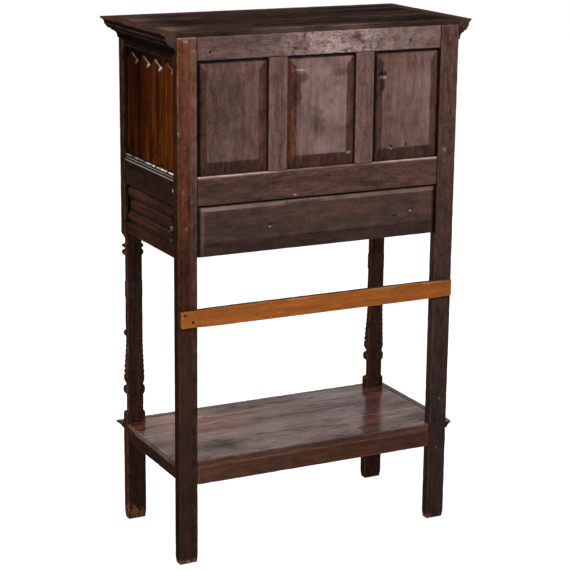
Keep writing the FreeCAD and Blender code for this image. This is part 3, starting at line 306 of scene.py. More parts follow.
def feed(tree, item, links):
    """Links or plain values for the sockets of a shader node, by name or number."""
    for socket, source in links:
        if hasattr(source, "is_output"):
            tree.links.new(source, item.inputs[socket])
        else:
            item.inputs[socket].default_value = source


def add_node(tree, kind, links=(), **settings):
    """One shader node with its settings, and links or values for its sockets."""
    item = tree.nodes.new("ShaderNode" + kind)
    for key, value in settings.items():
        setattr(item, key, value)
    feed(tree, item, links)
    return item


def new_material(name):
    """Material, its node tree and its main shader."""
    material = bpy.data.materials.new(name)
    material.use_nodes = True
    return material, material.node_tree, material.node_tree.nodes["Principled BSDF"]


def trait(tree, label, output="Fac"):
    """What each point of a piece carries under a label."""
    return add_node(tree, "Attribute", attribute_name=label).outputs[output]


def stretched_noise(tree, vector, scale, detail=4.0, rough=0.55):
    """Noise drawn out along the grain: coordinates scaled apart before a noise of scale one."""
    place = add_node(tree, "Mapping", [("Vector", vector), ("Scale", scale)])
    links = [("Vector", place.outputs[0]), ("Scale", 1.0), ("Detail", detail), ("Roughness", rough)]
    return add_node(tree, "TexNoise", links).outputs["Fac"]


def span(tree, value, low, high, start=0.0, end=1.0):
    """Linear rescale with both ends held."""
    links = [("Value", value), ("From Min", low), ("From Max", high), ("To Min", start), ("To Max", end)]
    return add_node(tree, "MapRange", links, clamp=True).outputs[0]


def blend(tree, share, one, two):
    """Mix of two colours."""
    links = [(0, share), (6, one), (7, two)]
    return add_node(tree, "Mix", links, data_type="RGBA").outputs[2]


def maths(tree, operation, one, two=0.0):
    """One sum on numbers."""
    return add_node(tree, "Math", [(0, one), (1, two)], operation=operation).outputs[0]


def scaled(tree, value, factor):
    """Number times a factor."""
    return maths(tree, "MULTIPLY", value, factor)


def scaled_vector(tree, vector, factor):
    """Vector or colour times a factor."""
    return add_node(tree, "VectorMath", [(0, vector), ("Scale", factor)], operation="SCALE").outputs[0]


def pushed(tree, place, way, share):
    """Place moved by a share of a way."""
    links = [(0, place), (1, scaled_vector(tree, way, share))]
    return add_node(tree, "VectorMath", links, operation="ADD").outputs[0]


def oak_figure():
    """Group: streaks, pores, patches, mottle and light and dark flecks of a board from its wood
    coordinates."""
    names = ("Streaks", "Pores", "Patches", "Specks", "Mottle", "Flecks")
    tree, given, result = new_group("oak figure", [("Wood", "Vector")], [(name, "Float") for name in names])
    wood = given["Wood"]
    bent = pushed(tree, wood, (0.0, 0.012, 0.012), stretched_noise(tree, wood, (2.0, 9.0, 9.0), 2.0))
    broad = stretched_noise(tree, bent, (2.2, 60.0, 60.0), 5.0, 0.6)
    fine = stretched_noise(tree, bent, (9.0, 420.0, 420.0), 3.0, 0.5)
    streaks = maths(tree, "ADD", scaled(tree, broad, 0.6), scaled(tree, fine, 0.4))
    pores = stretched_noise(tree, bent, (55.0, 1500.0, 1500.0), 1.0)
    patches = stretched_noise(tree, wood, (4.5, 13.0, 13.0))
    specks = stretched_noise(tree, wood, (160.0, 240.0, 240.0), 2.0, 0.5)
    mottle = stretched_noise(tree, wood, (22.0, 75.0, 75.0), 5.0, 0.7)
    spans = ((streaks, 0.33, 0.68), (pores, 0.56, 0.7), (patches, 0.36, 0.66), (specks, 0.63, 0.75),
             (mottle, 0.3, 0.7, 0.55, 1.55), (specks, 0.41, 0.27))
    for name, limits in zip(names, spans):
        tree.links.new(span(tree, *limits), result[name])
    return tree


def old_finish():
    """Group: an old finish over a wood colour. Ragged wear on edges, a pale bloom with painted sheen and
    highlights, broken up by fine crackle, the tone of the place with its painted light and shade, and dirt
    and painted shade in hollows, in that order."""
    inputs = [(label, "Color") for label in ("Colour", "Worn", "Haze_and_sheen", "Soil_and_shade")] + [("Wood", "Vector")]
    inputs += [(label, "Float") for label in ("Wear", "Bloom_and_sheen", "Tone", "Dirt_and_shade", "Crackle")]
    tree, given, result = new_group("old finish", inputs, [("Colour", "Color")])
    wood = given["Wood"]
    ragged = stretched_noise(tree, wood, (40.0, 130.0, 130.0), 3.0, 0.6)
    rub = maths(tree, "MULTIPLY", span(tree, given["Wear"], 0.35, 1.1), span(tree, ragged, 0.38, 0.7))
    colour = blend(tree, scaled(tree, rub, 0.85), given["Colour"], given["Worn"])
    bent = pushed(tree, wood, (0.02, 0.02, 0.02), stretched_noise(tree, wood, (60.0, 80.0, 80.0), 3.0, 0.6))
    links = [("Vector", bent), ("Scale", 170.0)]
    net = add_node(tree, "TexVoronoi", links, feature="DISTANCE_TO_EDGE")
    lines = span(tree, net.outputs["Distance"], 0.0, 0.12, 0.7, 0.0)
    gone = span(tree, stretched_noise(tree, wood, (75.0, 150.0, 150.0), 5.0, 0.75), 0.53, 0.43)
    holes = maths(tree, "MULTIPLY", given["Crackle"], maths(tree, "MAXIMUM", lines, gone))
    veil = maths(tree, "MULTIPLY", given["Bloom_and_sheen"], maths(tree, "SUBTRACT", 1.0, holes))
    colour = scaled_vector(tree, blend(tree, veil, colour, given["Haze_and_sheen"]), given["Tone"])
    tree.links.new(blend(tree, given["Dirt_and_shade"], colour, given["Soil_and_shade"]), result["Colour"])
    return tree


OAK_FIGURE = oak_figure()
OLD_FINISH = old_finish()


def wood_material(name, tones, wax, polish, crackle=0.2, bump=0.25, place=None, dull=0.0, lively=1.0):
    """Stained oak: dark to light tone by streaks, a patch tone by patches, soil in the pores, and the old
    finish on top. place is None for pieces with wood coordinates of their own, else the axis order that
    turns Object coordinates into wood coordinates. wax is the roughness of the wax coat, polish its weight,
    dull the share of it that is lost where the tone is low, crackle how far the bloom is broken up and
    lively how strong the mottle and the dark flecks are."""
    material, tree, shader = new_material(name)
    if place is None:
        wood = trait(tree, "grain", "Vector")
    else:
        parts = add_node(tree, "SeparateXYZ", [(0, add_node(tree, "TexCoord").outputs["Object"])])
        order = [(k, parts.outputs[axis]) for k, axis in enumerate(place)]
        wood = add_node(tree, "CombineXYZ", order).outputs[0]
    figure = add_node(tree, "Group", [("Wood", wood)], node_tree=OAK_FIGURE)
    streaks, pores, patches, specks, mottle, flecks = figure.outputs
    colour = blend(tree, streaks, tones["dark"], tones["light"])
    colour = blend(tree, scaled(tree, patches, tones["patchiness"]), colour, tones["patch"])
    mottle = maths(tree, "ADD", scaled(tree, mottle, lively), 1.0 - lively)
    dark = maths(tree, "MAXIMUM", scaled(tree, pores, 0.55), scaled(tree, flecks, 0.7 * lively))
    colour = blend(tree, dark, scaled_vector(tree, colour, mottle), tones["soil_and_shade"])
    colour = blend(tree, scaled(tree, specks, 0.25), colour, tones["worn"])
    if place is None:
        links = [("Colour", colour), ("Wood", wood), ("Crackle", crackle)]
        links += [(label, tones[label.lower()]) for label in ("Worn", "Haze_and_sheen", "Soil_and_shade")]
        links += [(label, trait(tree, label.lower())) for label in ("Wear", "Bloom_and_sheen", "Tone", "Dirt_and_shade")]
        colour = add_node(tree, "Group", links, node_tree=OLD_FINISH).outputs[0]
    coat = span(tree, patches, 0.0, 1.0, 1.3 * polish, 0.5 * polish)
    if dull:
        coat = maths(tree, "MULTIPLY", coat, span(tree, trait(tree, "tone"), 0.05, 0.5, 1.0 - dull, 1.0))
    height = maths(tree, "SUBTRACT", scaled(tree, streaks, 0.6), scaled(tree, pores, 0.8))
    relief = add_node(tree, "Bump", [("Height", height), ("Strength", bump), ("Distance", 0.0006)])
    feed(tree, shader, [("Base Color", colour), ("Roughness", span(tree, streaks, 0.0, 1.0, 0.5, 0.7)),
                        ("Specular IOR Level", 0.0), ("Coat Weight", coat), ("Coat Roughness", wax),
                        ("Normal", relief.outputs[0])])
    return material


def shade(red, green, blue):
    """Colour as seen on a screen, 0 to 255, as the linear colour that a shader takes."""
    part = np.array([red, green, blue]) / 255.0
    linear = np.where(part <= 0.04045, part / 12.92, ((part + 0.055) / 1.055) ** 2.4)
    return (*(float(value) for value in linear), 1.0)


def tones(dark, light, patch, patchiness, worn, haze_and_sheen, soil_and_shade):
    """Set of colours of one wood."""
    rows = {"dark": dark, "light": light, "patch": patch, "worn": worn, "haze_and_sheen": haze_and_sheen, "soil_and_shade": soil_and_shade}
    return {"patchiness": patchiness, **{label: shade(*colour) for label, colour in rows.items()}}


# Colours of each wood: dark, light, patch, patchiness, worn, haze (colour of the bloom and of the painted
# sheen and highlights) and soil (colour of pores, dirt and painted shade)
SOIL_AND_SHADE = (15, 10, 8)
DARK_OAK = tones((54, 36, 30), (90, 62, 52), (76, 56, 50), 0.6, (150, 108, 80), (186, 160, 146), SOIL_AND_SHADE)
RED_OAK = tones((56, 28, 17), (110, 62, 41), (84, 55, 41), 0.45, (170, 122, 92), (140, 116, 108), SOIL_AND_SHADE)
PANEL_OAK = tones((52, 32, 26), (102, 66, 55), (80, 58, 51), 0.5, (136, 74, 42), (180, 154, 149), SOIL_AND_SHADE)
GREY_OAK = tones((68, 48, 43), (110, 82, 75), (102, 79, 74), 0.6, (160, 124, 104), (172, 150, 148), SOIL_AND_SHADE)
WARM_OAK = tones((46, 18, 4), (104, 46, 8), (64, 27, 8), 0.5, (150, 90, 50), (212, 200, 190), (12, 6, 4))
FOLD_OAK = tones((46, 22, 13), (92, 46, 26), (60, 34, 24), 0.5, (140, 92, 66), (190, 176, 164), (12, 7, 5))
DEEP_OAK = tones((30, 19, 15), (58, 36, 28), (48, 33, 28), 0.6, (132, 82, 48), (204, 192, 182), (10, 7, 6))
TOP_OAK = tones((24, 17, 16), (46, 33, 30), (40, 31, 29), 0.6, (104, 78, 66), (124, 98, 86), (12, 8, 8))
SHELF_OAK = tones((40, 20, 13), (126, 72, 46), (74, 50, 43), 0.4, (150, 104, 78), (150, 146, 158),
                  (10, 7, 6))
BATTEN = tones((120, 64, 22), (164, 94, 38), (140, 76, 28), 0.4, (196, 132, 70), (190, 140, 90),
               (60, 32, 16))
INNER = tones((112, 82, 58), (150, 116, 84), (128, 100, 76), 0.5, (170, 138, 104), (170, 150, 130),
              (60, 44, 32))
DOOR_OAK = tones((46, 24, 16), (94, 54, 37), (70, 46, 35), 0.45, (156, 108, 76), (132, 104, 96), SOIL_AND_SHADE)
MATERIALS = {
    "dark": wood_material("dark_oak", DARK_OAK, 0.4, 0.25, lively=1.25),
    "red": wood_material("red_oak", RED_OAK, 0.4, 0.05),
    "panel": wood_material("panel_oak", PANEL_OAK, 0.4, 0.15, lively=1.5),
    "grey": wood_material("grey_oak", GREY_OAK, 0.4, 0.3, 0.75),
    "warm": wood_material("warm_oak", WARM_OAK, 0.3, 0.04),
    "fold": wood_material("fold_oak", FOLD_OAK, 0.3, 0.08),
    "deep": wood_material("deep_oak", DEEP_OAK, 0.35, 0.025),
    "top": wood_material("top_oak", TOP_OAK, 0.5, 0.0, lively=1.4),
    "shelf": wood_material("shelf_oak", SHELF_OAK, 0.16, 0.58, 0.3, 0.5, dull=0.6),
    "door": wood_material("door_oak", DOOR_OAK, 0.3, 0.22),
    "batten": wood_material("varnished_batten", BATTEN, 0.4, 0.2, lively=0.35),
    "inner_x": wood_material("raw_oak_across", INNER, 0.6, 0.0, place=(0, 1, 2)),
    "inner_y": wood_material("raw_oak_deep", INNER, 0.6, 0.0, place=(1, 0, 2)),
}


def iron_material(name, black, rusty, metal):
    """Hammered iron: dark with rust-brown freckles and soft dents. metal is its metallic share where it is
    free of rust."""
    material, tree, shader = new_material(name)
    place = add_node(tree, "TexCoord").outputs["Object"]
    dents = stretched_noise(tree, place, (130.0, 130.0, 130.0), 3.0)
    rust = stretched_noise(tree, place, (60.0, 60.0, 60.0), 5.0, 0.65)
    colour = blend(tree, span(tree, rust, 0.45, 0.7), shade(*black), shade(*rusty))
    relief = add_node(tree, "Bump", [("Height", dents), ("Strength", 0.5), ("Distance", 0.0008)])
    bare = span(tree, rust, 0.4, 0.7, metal, 0.4 * metal)
    rough = span(tree, dents, 0.3, 0.7, 0.36, 0.6)
    feed(tree, shader, [("Base Color", colour), ("Metallic", bare), ("Specular IOR Level", 0.5 * metal),
                        ("Roughness", rough), ("Normal", relief.outputs[0])])
    return material


MATERIALS["iron"] = iron_material("wrought_iron", (52, 50, 50), (78, 52, 40), 0.9)
MATERIALS["rusted"] = iron_material("rusted_nail", (44, 27, 18), (78, 44, 24), 0.0)


# How the wood looks by place

def shade_by_height(points):
    """Painted light by height: full at the top of the cabinet, about two thirds from the shelf down, and a
    little lighter to the left."""
    aside = np.interp(points[:, 0], (-IN, IN), (1.12, 0.97))
    return aside * np.interp(points[:, 2], (0.0, 0.25, 0.8, 1.2), (0.62, 0.68, 0.86, 1.0))


def joint_shade(points):
    """Painted shade in the joints of the back frame: low in a line along the posts and at the ends of the
    muntins."""
    x, z = np.abs(points[:, 0]), points[:, 2]
    along = bell(x, IN, 2 * MM) * (z > BOX)
    ends = np.minimum(np.abs(z - FLOOR), np.abs(z - RAIL_LOW))
    inside = (x > MUNTIN_IN - MM) & (x < MUNTIN_OUT + MM)
    return (1 - 0.7 * along) * (1 - 0.55 * inside * bell(ends, 0, 1.6 * MM))


def plain_look(points):
    """Painted shade by height, on the faces that go in towards the panels and in the joints, and no bloom.
    """
    deep = fade(points[:, 1], BACK_FACE - 1.5 * MM, 6 * MM)
    return shade_by_height(points) * joint_shade(points) * (1 - 0.65 * deep), 0


def spots(*rows):
    """Marks given in millimetres, with dirt and bloom as shares."""
    return [tuple(MM * value for value in row[:5]) + row[5:] for row in rows]


# Posts
FOOT_HEIGHT, FOOT_WORN = 25 * MM, 2.5 * MM


def worn_foot(points):
    """Foot of a post: over its height the section draws in with the square of the nearness to the floor."""
    low, high = points.min(0), points.max(0)
    middle, half = 0.5 * (low + high)[:2], 0.5 * (high - low)[:2]
    near = np.clip(1 - points[:, 2:] / FOOT_HEIGHT, 0, 1) ** 2
    points = points.copy()
    points[:, :2] = middle + (points[:, :2] - middle) * (1 - near * FOOT_WORN / half)
    return points


def foot_wear(points, reach=22 * MM):
    """Wear of a foot: strong near the floor, with a ragged upper edge that goes up to the given reach."""
    ragged = reach * (0.5 + 0.35 * ripple(points, 0.03, 909) + 0.3 * ripple(points, 0.008, 913))
    return 1.6 * ease((ragged - points[:, 2]) / (7 * MM))


def post_shade(points):
    """Painted light and shade of the rear posts: falls fast from the cabinet down, and by half on the outer
    side faces.
    """
    x, _, z = points.T
    down = np.interp(z, (0.0, 0.3, 0.75, 1.0, 1.25), (0.3, 0.32, 0.48, 0.78, 0.95))
    return down * joint_shade(points) * (1 - 0.55 * climb(np.abs(x), OUT - 2 * MM, 1.5 * MM))


def right_post_look(points):
    """Right rear post: a grey, mottled third towards the panels and a painted highlight along the top edge.
    """
    x, _, z = points.T
    grey = 0.4 * fade(x, IN + 21 * MM, 8 * MM) * (0.2 + 0.8 * noise(points, (0.012, 0.05, 0.03), 901))
    line = bell(z, POST_TOP, 2.4 * MM)
    low = 0.17 * fade(z, 0.72, 0.3)
    crazed = fade(x, IN + 19 * MM, 6 * MM) * climb(ripple(points, 0.007, 918), -0.1, 0.5)
    foot = foot_wear(points)
    tone = post_shade(points) * (np.interp(z, (0.3, 0.9), (0.85, 1.1)) - 0.35 * crazed)
    return tone + 0.35 * foot, np.maximum(np.maximum(grey, line), low), 0.8 * foot


def left_post_look(points):
    """Left rear post: no bloom."""
    foot = foot_wear(points)
    return 1.18 * post_shade(points) + 0.35 * foot, 0, 0.8 * foot


RIGHT_POST_MARKS = spots((354, 1280, 6, 2.2, 0.5, 0.0, 1.0), (333, 1257, 3, 3, 0.6, 0.0, 1.0),
                         (374, 1068, 2.2, 5, 0.8, 0.0, 1.0), (354, 842, 2.4, 5, 0.6, 0.0, 0.9),
                         (340, 905, 3, 3, 0.5, 0.0, 0.7), (362, 930, 2.5, 2.5, 0.5, 0.0, 0.6),
                         (346, 470, 2.2, 2.2, 1.5, 1.0, 0.0), (360, 204, 2.2, 2.2, 0.4, 0.0, 0.8))
LEFT_POST_MARKS = spots((-368, 1262, 3, 5, 0.8, 0.4, 0.0), (-350, 1120, 2.2, 2.2, 1.5, 1.0, 0.0),
                        (-345, 980, 4, 4, 0.6, 0.0, 0.4), (-352, 330, 2, 2, 0.4, 0.0, 0.8),
                        (-349, 196, 2, 2, 0.4, 0.0, 0.8))
REAR_POSTS = {"left": ("dark", left_post_look, LEFT_POST_MARKS),
              "right": ("red", right_post_look, RIGHT_POST_MARKS)}
for name, side in SIDES:
    x0, x1 = sorted((side * IN, side * OUT))
    material, look, marks = REAR_POSTS[name]
    board(f"post_rear_{name}", (x0, BACK_IN, 0), (x1, BACK, POST_TOP), "z", material, face=(1, 1),
          marks=marks, look=look, shape=worn_foot, round_off=2.2, wave=0.7)

# Height share from the base up and inset share of the square baluster
BALUSTER = (
    (1.0, 0.0), (0.99, 0.35), (0.975, 0.9), (0.963, 1.1), (0.9434, 1.1), (0.9403, 0.9), (0.936, 0.3),
    (0.93, 0.0), (0.923, 0.3), (0.9187, 0.9), (0.9156, 1.0), (0.9115, 0.9), (0.905, 0.25), (0.895, 0.0),
    (0.885, 0.25), (0.8786, 0.9), (0.8755, 1.0), (0.7428, 1.0), (0.7387, 0.85), (0.6584, 0.85),
    (0.6543, 1.0), (0.539, 0.92), (0.4403, 1.0), (0.37, 0.86), (0.3128, 0.6), (0.25, 0.36), (0.2058, 0.25),
    (0.1831, 0.95), (0.178, 0.95), (0.1749, 0.75), (0.168, 0.2), (0.151, 0.0), (0.134, 0.2),
    (0.1276, 0.75), (0.1235, 1.0), (0.036, 1.0), (0.031, 0.6), (0.027, 0.15), (0.02, 0.0), (0.0, 0.0),
)
BALUSTER_LOW = SHELF + 14 * MM
BALUSTER_RUN = BOX - 4 * MM - BALUSTER_LOW
SHAFT_INSET = 5 * MM
LEAF_LOW, LEAF_HIGH = 0.205, 0.47


def baluster_share(level):
    """Share of the height of the baluster at a level."""
    return (level - BALUSTER_LOW) / BALUSTER_RUN


def leafy(share):
    """1 where the shaft is cut with leaves, and 0 elsewhere."""
    return climb(share, LEAF_LOW, 0.02) * fade(share, LEAF_HIGH, 0.05)


def leaf_turn(level, across):
    """Angle that goes once round per leaf notch, later away from the middle of the face."""
    return 2 * np.pi * (level / (13.5 * MM) + 0.9 * np.abs(across))


def baluster_shape(middle):
    """Square baluster: side and front faces drawn in by the inset at each height, the front corners cut by
    a 45 degree plane along the shaft, and leaf notches of 13 mm pitch that slant down from the middle."""
    shares, insets = (np.array(column)[::-1] for column in zip(*BALUSTER))
    half = 0.5 * (OUT - IN)
    deep = FRONT_IN - FRONT

    def shape(points):
        points = worn_foot(points)
        share = baluster_share(points[:, 2])
        inside = (share >= 0) & (share <= 1)
        inset = np.where(inside, np.interp(share, shares, insets), 0) * SHAFT_INSET
        across = points[:, 0] - middle
        ahead = FRONT_IN - points[:, 1]
        leaf = leafy(share)
        notch = leaf * 2.2 * MM * np.clip(np.cos(leaf_turn(points[:, 2], across / half)), 0, 1) ** 1.5
        vein = leaf * 1.4 * MM * bell(across, 0, 2.2 * MM)
        fore = ahead / deep
        across = across * (1 - (inset + notch * (0.55 + 0.45 * climb(fore, 0.25, 0.3))) / half)
        ahead = ahead * (1 - (inset + notch + vein) * climb(fore, 0.5, 0.5) / deep)
        room = (half - inset - np.abs(across)) + (deep - inset - ahead)
        bevel = np.clip(inset / SHAFT_INSET, 0, 1) * 6 * MM
        cut = np.where(inside, np.clip(bevel - room, 0, None) * 0.5, 0)
        points[:, 0] = middle + np.sign(across) * (np.abs(across) - cut)
        points[:, 1] = FRONT_IN - (ahead - cut)
        return points
    return shape


def front_post_look(points):
    """Front posts: a little lighter near the floor, rubbed with painted highlights on the ridges between
    the leaf notches and on the mouldings above the shaft, dull on the band of the shaft, with a worn foot."""
    x, _, z = points.T
    tone = np.interp(z, (0.0, 0.1, 0.3), (1.6, 1.3, 1.2))
    share = baluster_share(z)
    across = (np.abs(x) - 0.5 * (IN + OUT)) / (0.5 * (OUT - IN))
    ridge = leafy(share) * np.clip(-np.cos(leaf_turn(z, across)), 0, 1) ** 2
    mould = climb(share, 0.87, 0.01) * fade(share, 0.99, 0.01)
    rubbed_and_lit = (ridge + mould * (ripple(points, 0.006, 917) > 0.1)) * climb(np.abs(across), 0.7, 0.2)
    band = 0.012 * ((share > 0.655) & (share < 0.742))
    foot = foot_wear(points, np.where(x > 0, 55 * MM, 14 * MM))
    return tone, band, np.maximum(foot, 0.85 * rubbed_and_lit)


for name, side in SIDES:
    x0, x1 = sorted((side * IN, side * OUT))
    fine = np.arange(BALUSTER_LOW - 6 * MM, BOX + 4 * MM, 2 * MM)
    levels = np.concatenate([fine, BALUSTER_LOW + BALUSTER_RUN * np.array([row[0] for row in BALUSTER])])
    board(f"post_front_{name}", (x0, FRONT, 0), (x1, FRONT_IN, POST_TOP), "z", "deep",
          look=front_post_look, shape=baluster_shape(0.5 * (x0 + x1)), round_off=1.6, pitch=(9, 3),
          wave=0.4, chips=2, extra=((), (), levels))


DOME_SIDES, DOME_RINGS = 48, 12


def domes(name, places, radius, rise, petals, body, material):
    """Low domes set on faces: a quarter turn of a round profile about the outward way, its radius rising
    and falling with the cosine of the number of petals times the angle. A place is a point, the outward way
    and a way across."""
    turns = np.linspace(0, 2 * np.pi, DOME_SIDES + 1)[:-1]
    lifts = np.linspace(0.06, 0.5 * np.pi, DOME_RINGS)
    turn, lift = np.meshgrid(turns, lifts, indexing="ij")
    flat = radius * np.sin(lift) * (1 - 0.07 * (1 - np.cos(petals * turn)) * np.sin(lift))
    high = rise * np.cos(lift) * (1 - 0.12 * bell(lift, 0, 0.25))
    index = np.arange(turn.size).reshape(turn.shape)
    after = np.roll(index, -1, axis=0)
    face = np.stack([index[:, 1:], after[:, 1:], after[:, :-1], index[:, :-1]], -1).reshape(-1, 4)
    points, faces = [], []
    for spot, out, one in places:
        out, one = np.array(out, float), np.array(one, float)
        two = np.cross(out, one)
        ring = (flat * np.cos(turn))[..., None] * one + (flat * np.sin(turn))[..., None] * two
        first = len(points) * turn.size
        faces += (face + first).tolist()
        faces += [(index[:, 0] + first).tolist(), (index[::-1, -1] + first).tolist()]
        points.append((np.array(spot) + ring + high[..., None] * out).reshape(-1, 3))
    points = np.concatenate(points)
    traits = {"wear": np.full(len(points), 0.5)}
    add_piece(name, points, faces, grain_of(points, "z", 5), traits, body, [], material)


for name, side in SIDES:
    level = BALUSTER_LOW + 0.465 * BALUSTER_RUN
    outer = (side * (OUT - 7 * MM), FRONT_IN - 10.5 * MM, level)
    ahead = (side * 0.5 * (IN + OUT), FRONT + 7 * MM, level)
    places = [(outer, (side, 0, 0), (0, side, 0)), (ahead, (0, -1, 0), (1, 0, 0))]
    domes(f"post_bosses_{name}", places, 9.2 * MM, 9.2 * MM, 6, "carcass", "deep")

# Back frame and panels
TOP_RAIL_MARKS = spots((293, 1251, 3.2, 3.2, 4, 1.0, 0.0), (297, 1254, 3, 2, 0.5, 0.0, 0.8),
                       (-94, 1270, 14, 9, 0.8, 0.65, 0.0), (72, 1250, 9, 4, 0.8, 0.6, 0.0),
                       (45, 1248, 8, 5, 0.8, 0.55, 0.0), (150, 1262, 8, 3, 0.6, 0.4, 0.0),
                       (-240, 1255, 2.2, 2.2, 2, 0.9, 0.0))


def top_rail_look(points):
    """Top rail: a rough pinkish bloom over the middle that is a painted reflection of a lamp, and a thinner
    painted sheen towards the left end.
    """
    x = points[:, 0]
    middle = bell(x, -40 * MM, 150 * MM)
    rough = noise(points, (0.03, 0.05, 0.02), 902)
    bloom_and_sheen = 0.98 * middle * (0.2 + 0.8 * rough) + 0.12 * fade(x, 120 * MM, 200 * MM)
    return shade_by_height(points) * joint_shade(points) * (0.9 + 0.1 * middle), np.clip(bloom_and_sheen, 0, 1)


def cracked(a, b):
    """Crackled old finish: shallow pits from two noises, deepest in the middle of the rail."""
    middle = 0.3 + 0.7 * bell(a, -40 * MM, 170 * MM)
    pits = np.clip(noise_on(a, b, 0.01, 31) - 0.5, 0, 1) + np.clip(noise_on(a, b, 0.0045, 32) - 0.55, 0, 1)
    rust = 1.2 * middle * climb(noise_on(a, b, 0.03, 34), 0.6, 0.15)
    return 2.2 * MM * middle * pits, rust, 0.9 * middle * np.clip(1.3 * pits, 0, 1), 0 * a


def worn_arris_highlight(a, b):
    """Light worn line with a painted highlight along the upper edge of the mid rail, broken up by noise
    along it.
    """
    line = bell(b, FLOOR, 3.4 * MM, 4)
    strong = climb(np.abs(a + 20 * MM), 90 * MM, 80 * MM) + 0.35 * climb(a, 100 * MM, 60 * MM)
    pale = line * (0.25 + 0.75 * strong) * (0.5 + 0.5 * noise_on(a, b, 0.02, 33))
    return 0.7 * MM * line, 0.5 * line, 0 * a, np.clip(pale, 0, 1)


board("back_top_rail", (-IN, BACK_RAIL, RAIL_LOW), (IN, BACK_FACE, POST_TOP), "x", "grey", face=(1, 1),
      carve=cracked, marks=TOP_RAIL_MARKS, look=top_rail_look, pitch=(3, 2))
board("back_mid_rail", (-IN, BACK_RAIL, MID_LOW), (IN, BACK_FACE, FLOOR), "x", "dark", face=(1, 1),
      carve=worn_arris_highlight, marks=spots((-20, 940, 4, 3, 0.6, 0.7, 0.0), (70, 900, 5, 3, 0.5, 0.0, 0.5),
                                    (-215, 925, 2, 2, 2, 1.0, 0.0)), look=plain_look)
for name, side in SIDES:
    x0, x1 = sorted((side * MUNTIN_IN, side * MUNTIN_OUT))
    board(f"back_muntin_{name}", (x0, BACK_RAIL, FLOOR), (x1, BACK_FACE, RAIL_LOW), "z", "grey",
          look=plain_look)


def shares_of_bevels(box, bevels, x, z):
    """Distance from each side of a box (low x, high x, bottom, top) and that as a share of its bevel."""
    x0, x1, z0, z1 = box
    edges = np.stack([x - x0, x1 - x, z - z0, z1 - z])
    return edges, edges / np.array(bevels)[:, None]


SLIT_DROP = 3 * MM


def fielded(box, bevels, slits, depth, scrape=None, dirt_and_shade=(1, 1, 1, 1)):
    """Raised field in a frame: falls off over the bevel on each side in a straight slope, and drops further
    in the slit next to the frame, which is darkened with painted shadow. dirt is the share of that painted
    shadow in the slit of each side, scrape(x, z) adds dark scrape marks."""
    slits = np.array(slits)[:, None]
    dirt_and_shade = np.array(dirt_and_shade)[:, None]

    def carve(x, z):
        edges, shares = shares_of_bevels(box, bevels, x, z)
        near = shares.min(0)
        each = ease(0.5 + (slits - edges) / (3 * MM))
        slit = each.max(0)
        worn = 0.55 * bell(near, 1.0, 0.08)
        soil_and_shade = (dirt_and_shade * each).max(0)
        if scrape is not None:
            soil_and_shade = np.maximum(soil_and_shade, scrape(x, z) * climb(near, 0.9, 0.2))
        return depth * (1 - np.clip(near, 0, 1)) + SLIT_DROP * slit, worn, soil_and_shade, 0 * x
    return carve


def field_look(box, bevels, bevel_tones, haze_and_sheen, seed, field_tone, rub=0.0):
    """Look of a raised panel: each bevel has its own tone, painted light and shade by the way it faces, and
    the field has a mottled painted sheen that grows towards the low side, broken by thin upright streaks.
    rub is the wear of the bevel on the high side, and a third of it is on the lower bevel."""
    bevel_tones = np.array(bevel_tones)

    def look(points):
        x, z = points[:, 0], points[:, 2]
        shares = shares_of_bevels(box, bevels, x, z)[1]
        field = climb(shares.min(0), 0.94, 0.1)
        side = shares.argmin(0)
        tone = bevel_tones[side]
        hazed = np.maximum(field, 0.6 * (side == 3))
        mottle = 0.6 * noise_on(x, z, 0.05, seed) + 0.4 * noise_on(x, z, 0.014, seed + 1)
        streak = ripple(points, (0.006, 1.0, 0.1), seed + 2) * noise_on(x, z, 0.04, seed + 3)
        lean = np.interp(x, box[:2], (1.0, 0.5))
        bloom_and_sheen = haze_and_sheen * lean * (0.3 + 1.05 * mottle) * (0.12 + 0.88 * hazed) * (1 + 0.25 * streak)
        tone = (tone + (field_tone - tone) * field) * shade_by_height(points) * (1 + 0.12 * streak)
        return tone, np.clip(bloom_and_sheen, 0, 1), rub * ((side == 1) + 0.3 * (side == 2)) * (1 - field)
    return look


def scraped(x, z):
    """Scrape marks: slanting stripes 6 mm apart, bent by noise, in a window of the right panel."""
    window = climb(x, 175 * MM, 40 * MM) * fade(x, 312 * MM, 30 * MM)
    window = window * climb(z, 985 * MM, 120 * MM) * fade(z, 1212 * MM, 40 * MM)
    turn = 2 * np.pi * (0.82 * z - 0.57 * x) / (6 * MM) + 9 * noise_on(x, z, 0.03, 35)
    return window * np.clip(0.2 + 0.55 * np.sin(turn), 0, 1) * (0.1 + 0.9 * noise_on(x, z, 0.022, 36))


BEVEL = 26 * MM
TONGUE = 5 * MM
BEVELS = (BEVEL, BEVEL, BEVEL + 6 * MM, BEVEL + 3 * MM)
SLITS = (2.5 * MM, 11 * MM, -4 * MM, 8 * MM)
# Bevel tones (low x, high x, bottom, top) and the field tone are painted light and shade by the way each
# faces
BEVEL_TONES, FIELD_TONE = (0.66, 0.64, 0.5, 0.95), 0.87
FIELD_RISE = 6 * MM
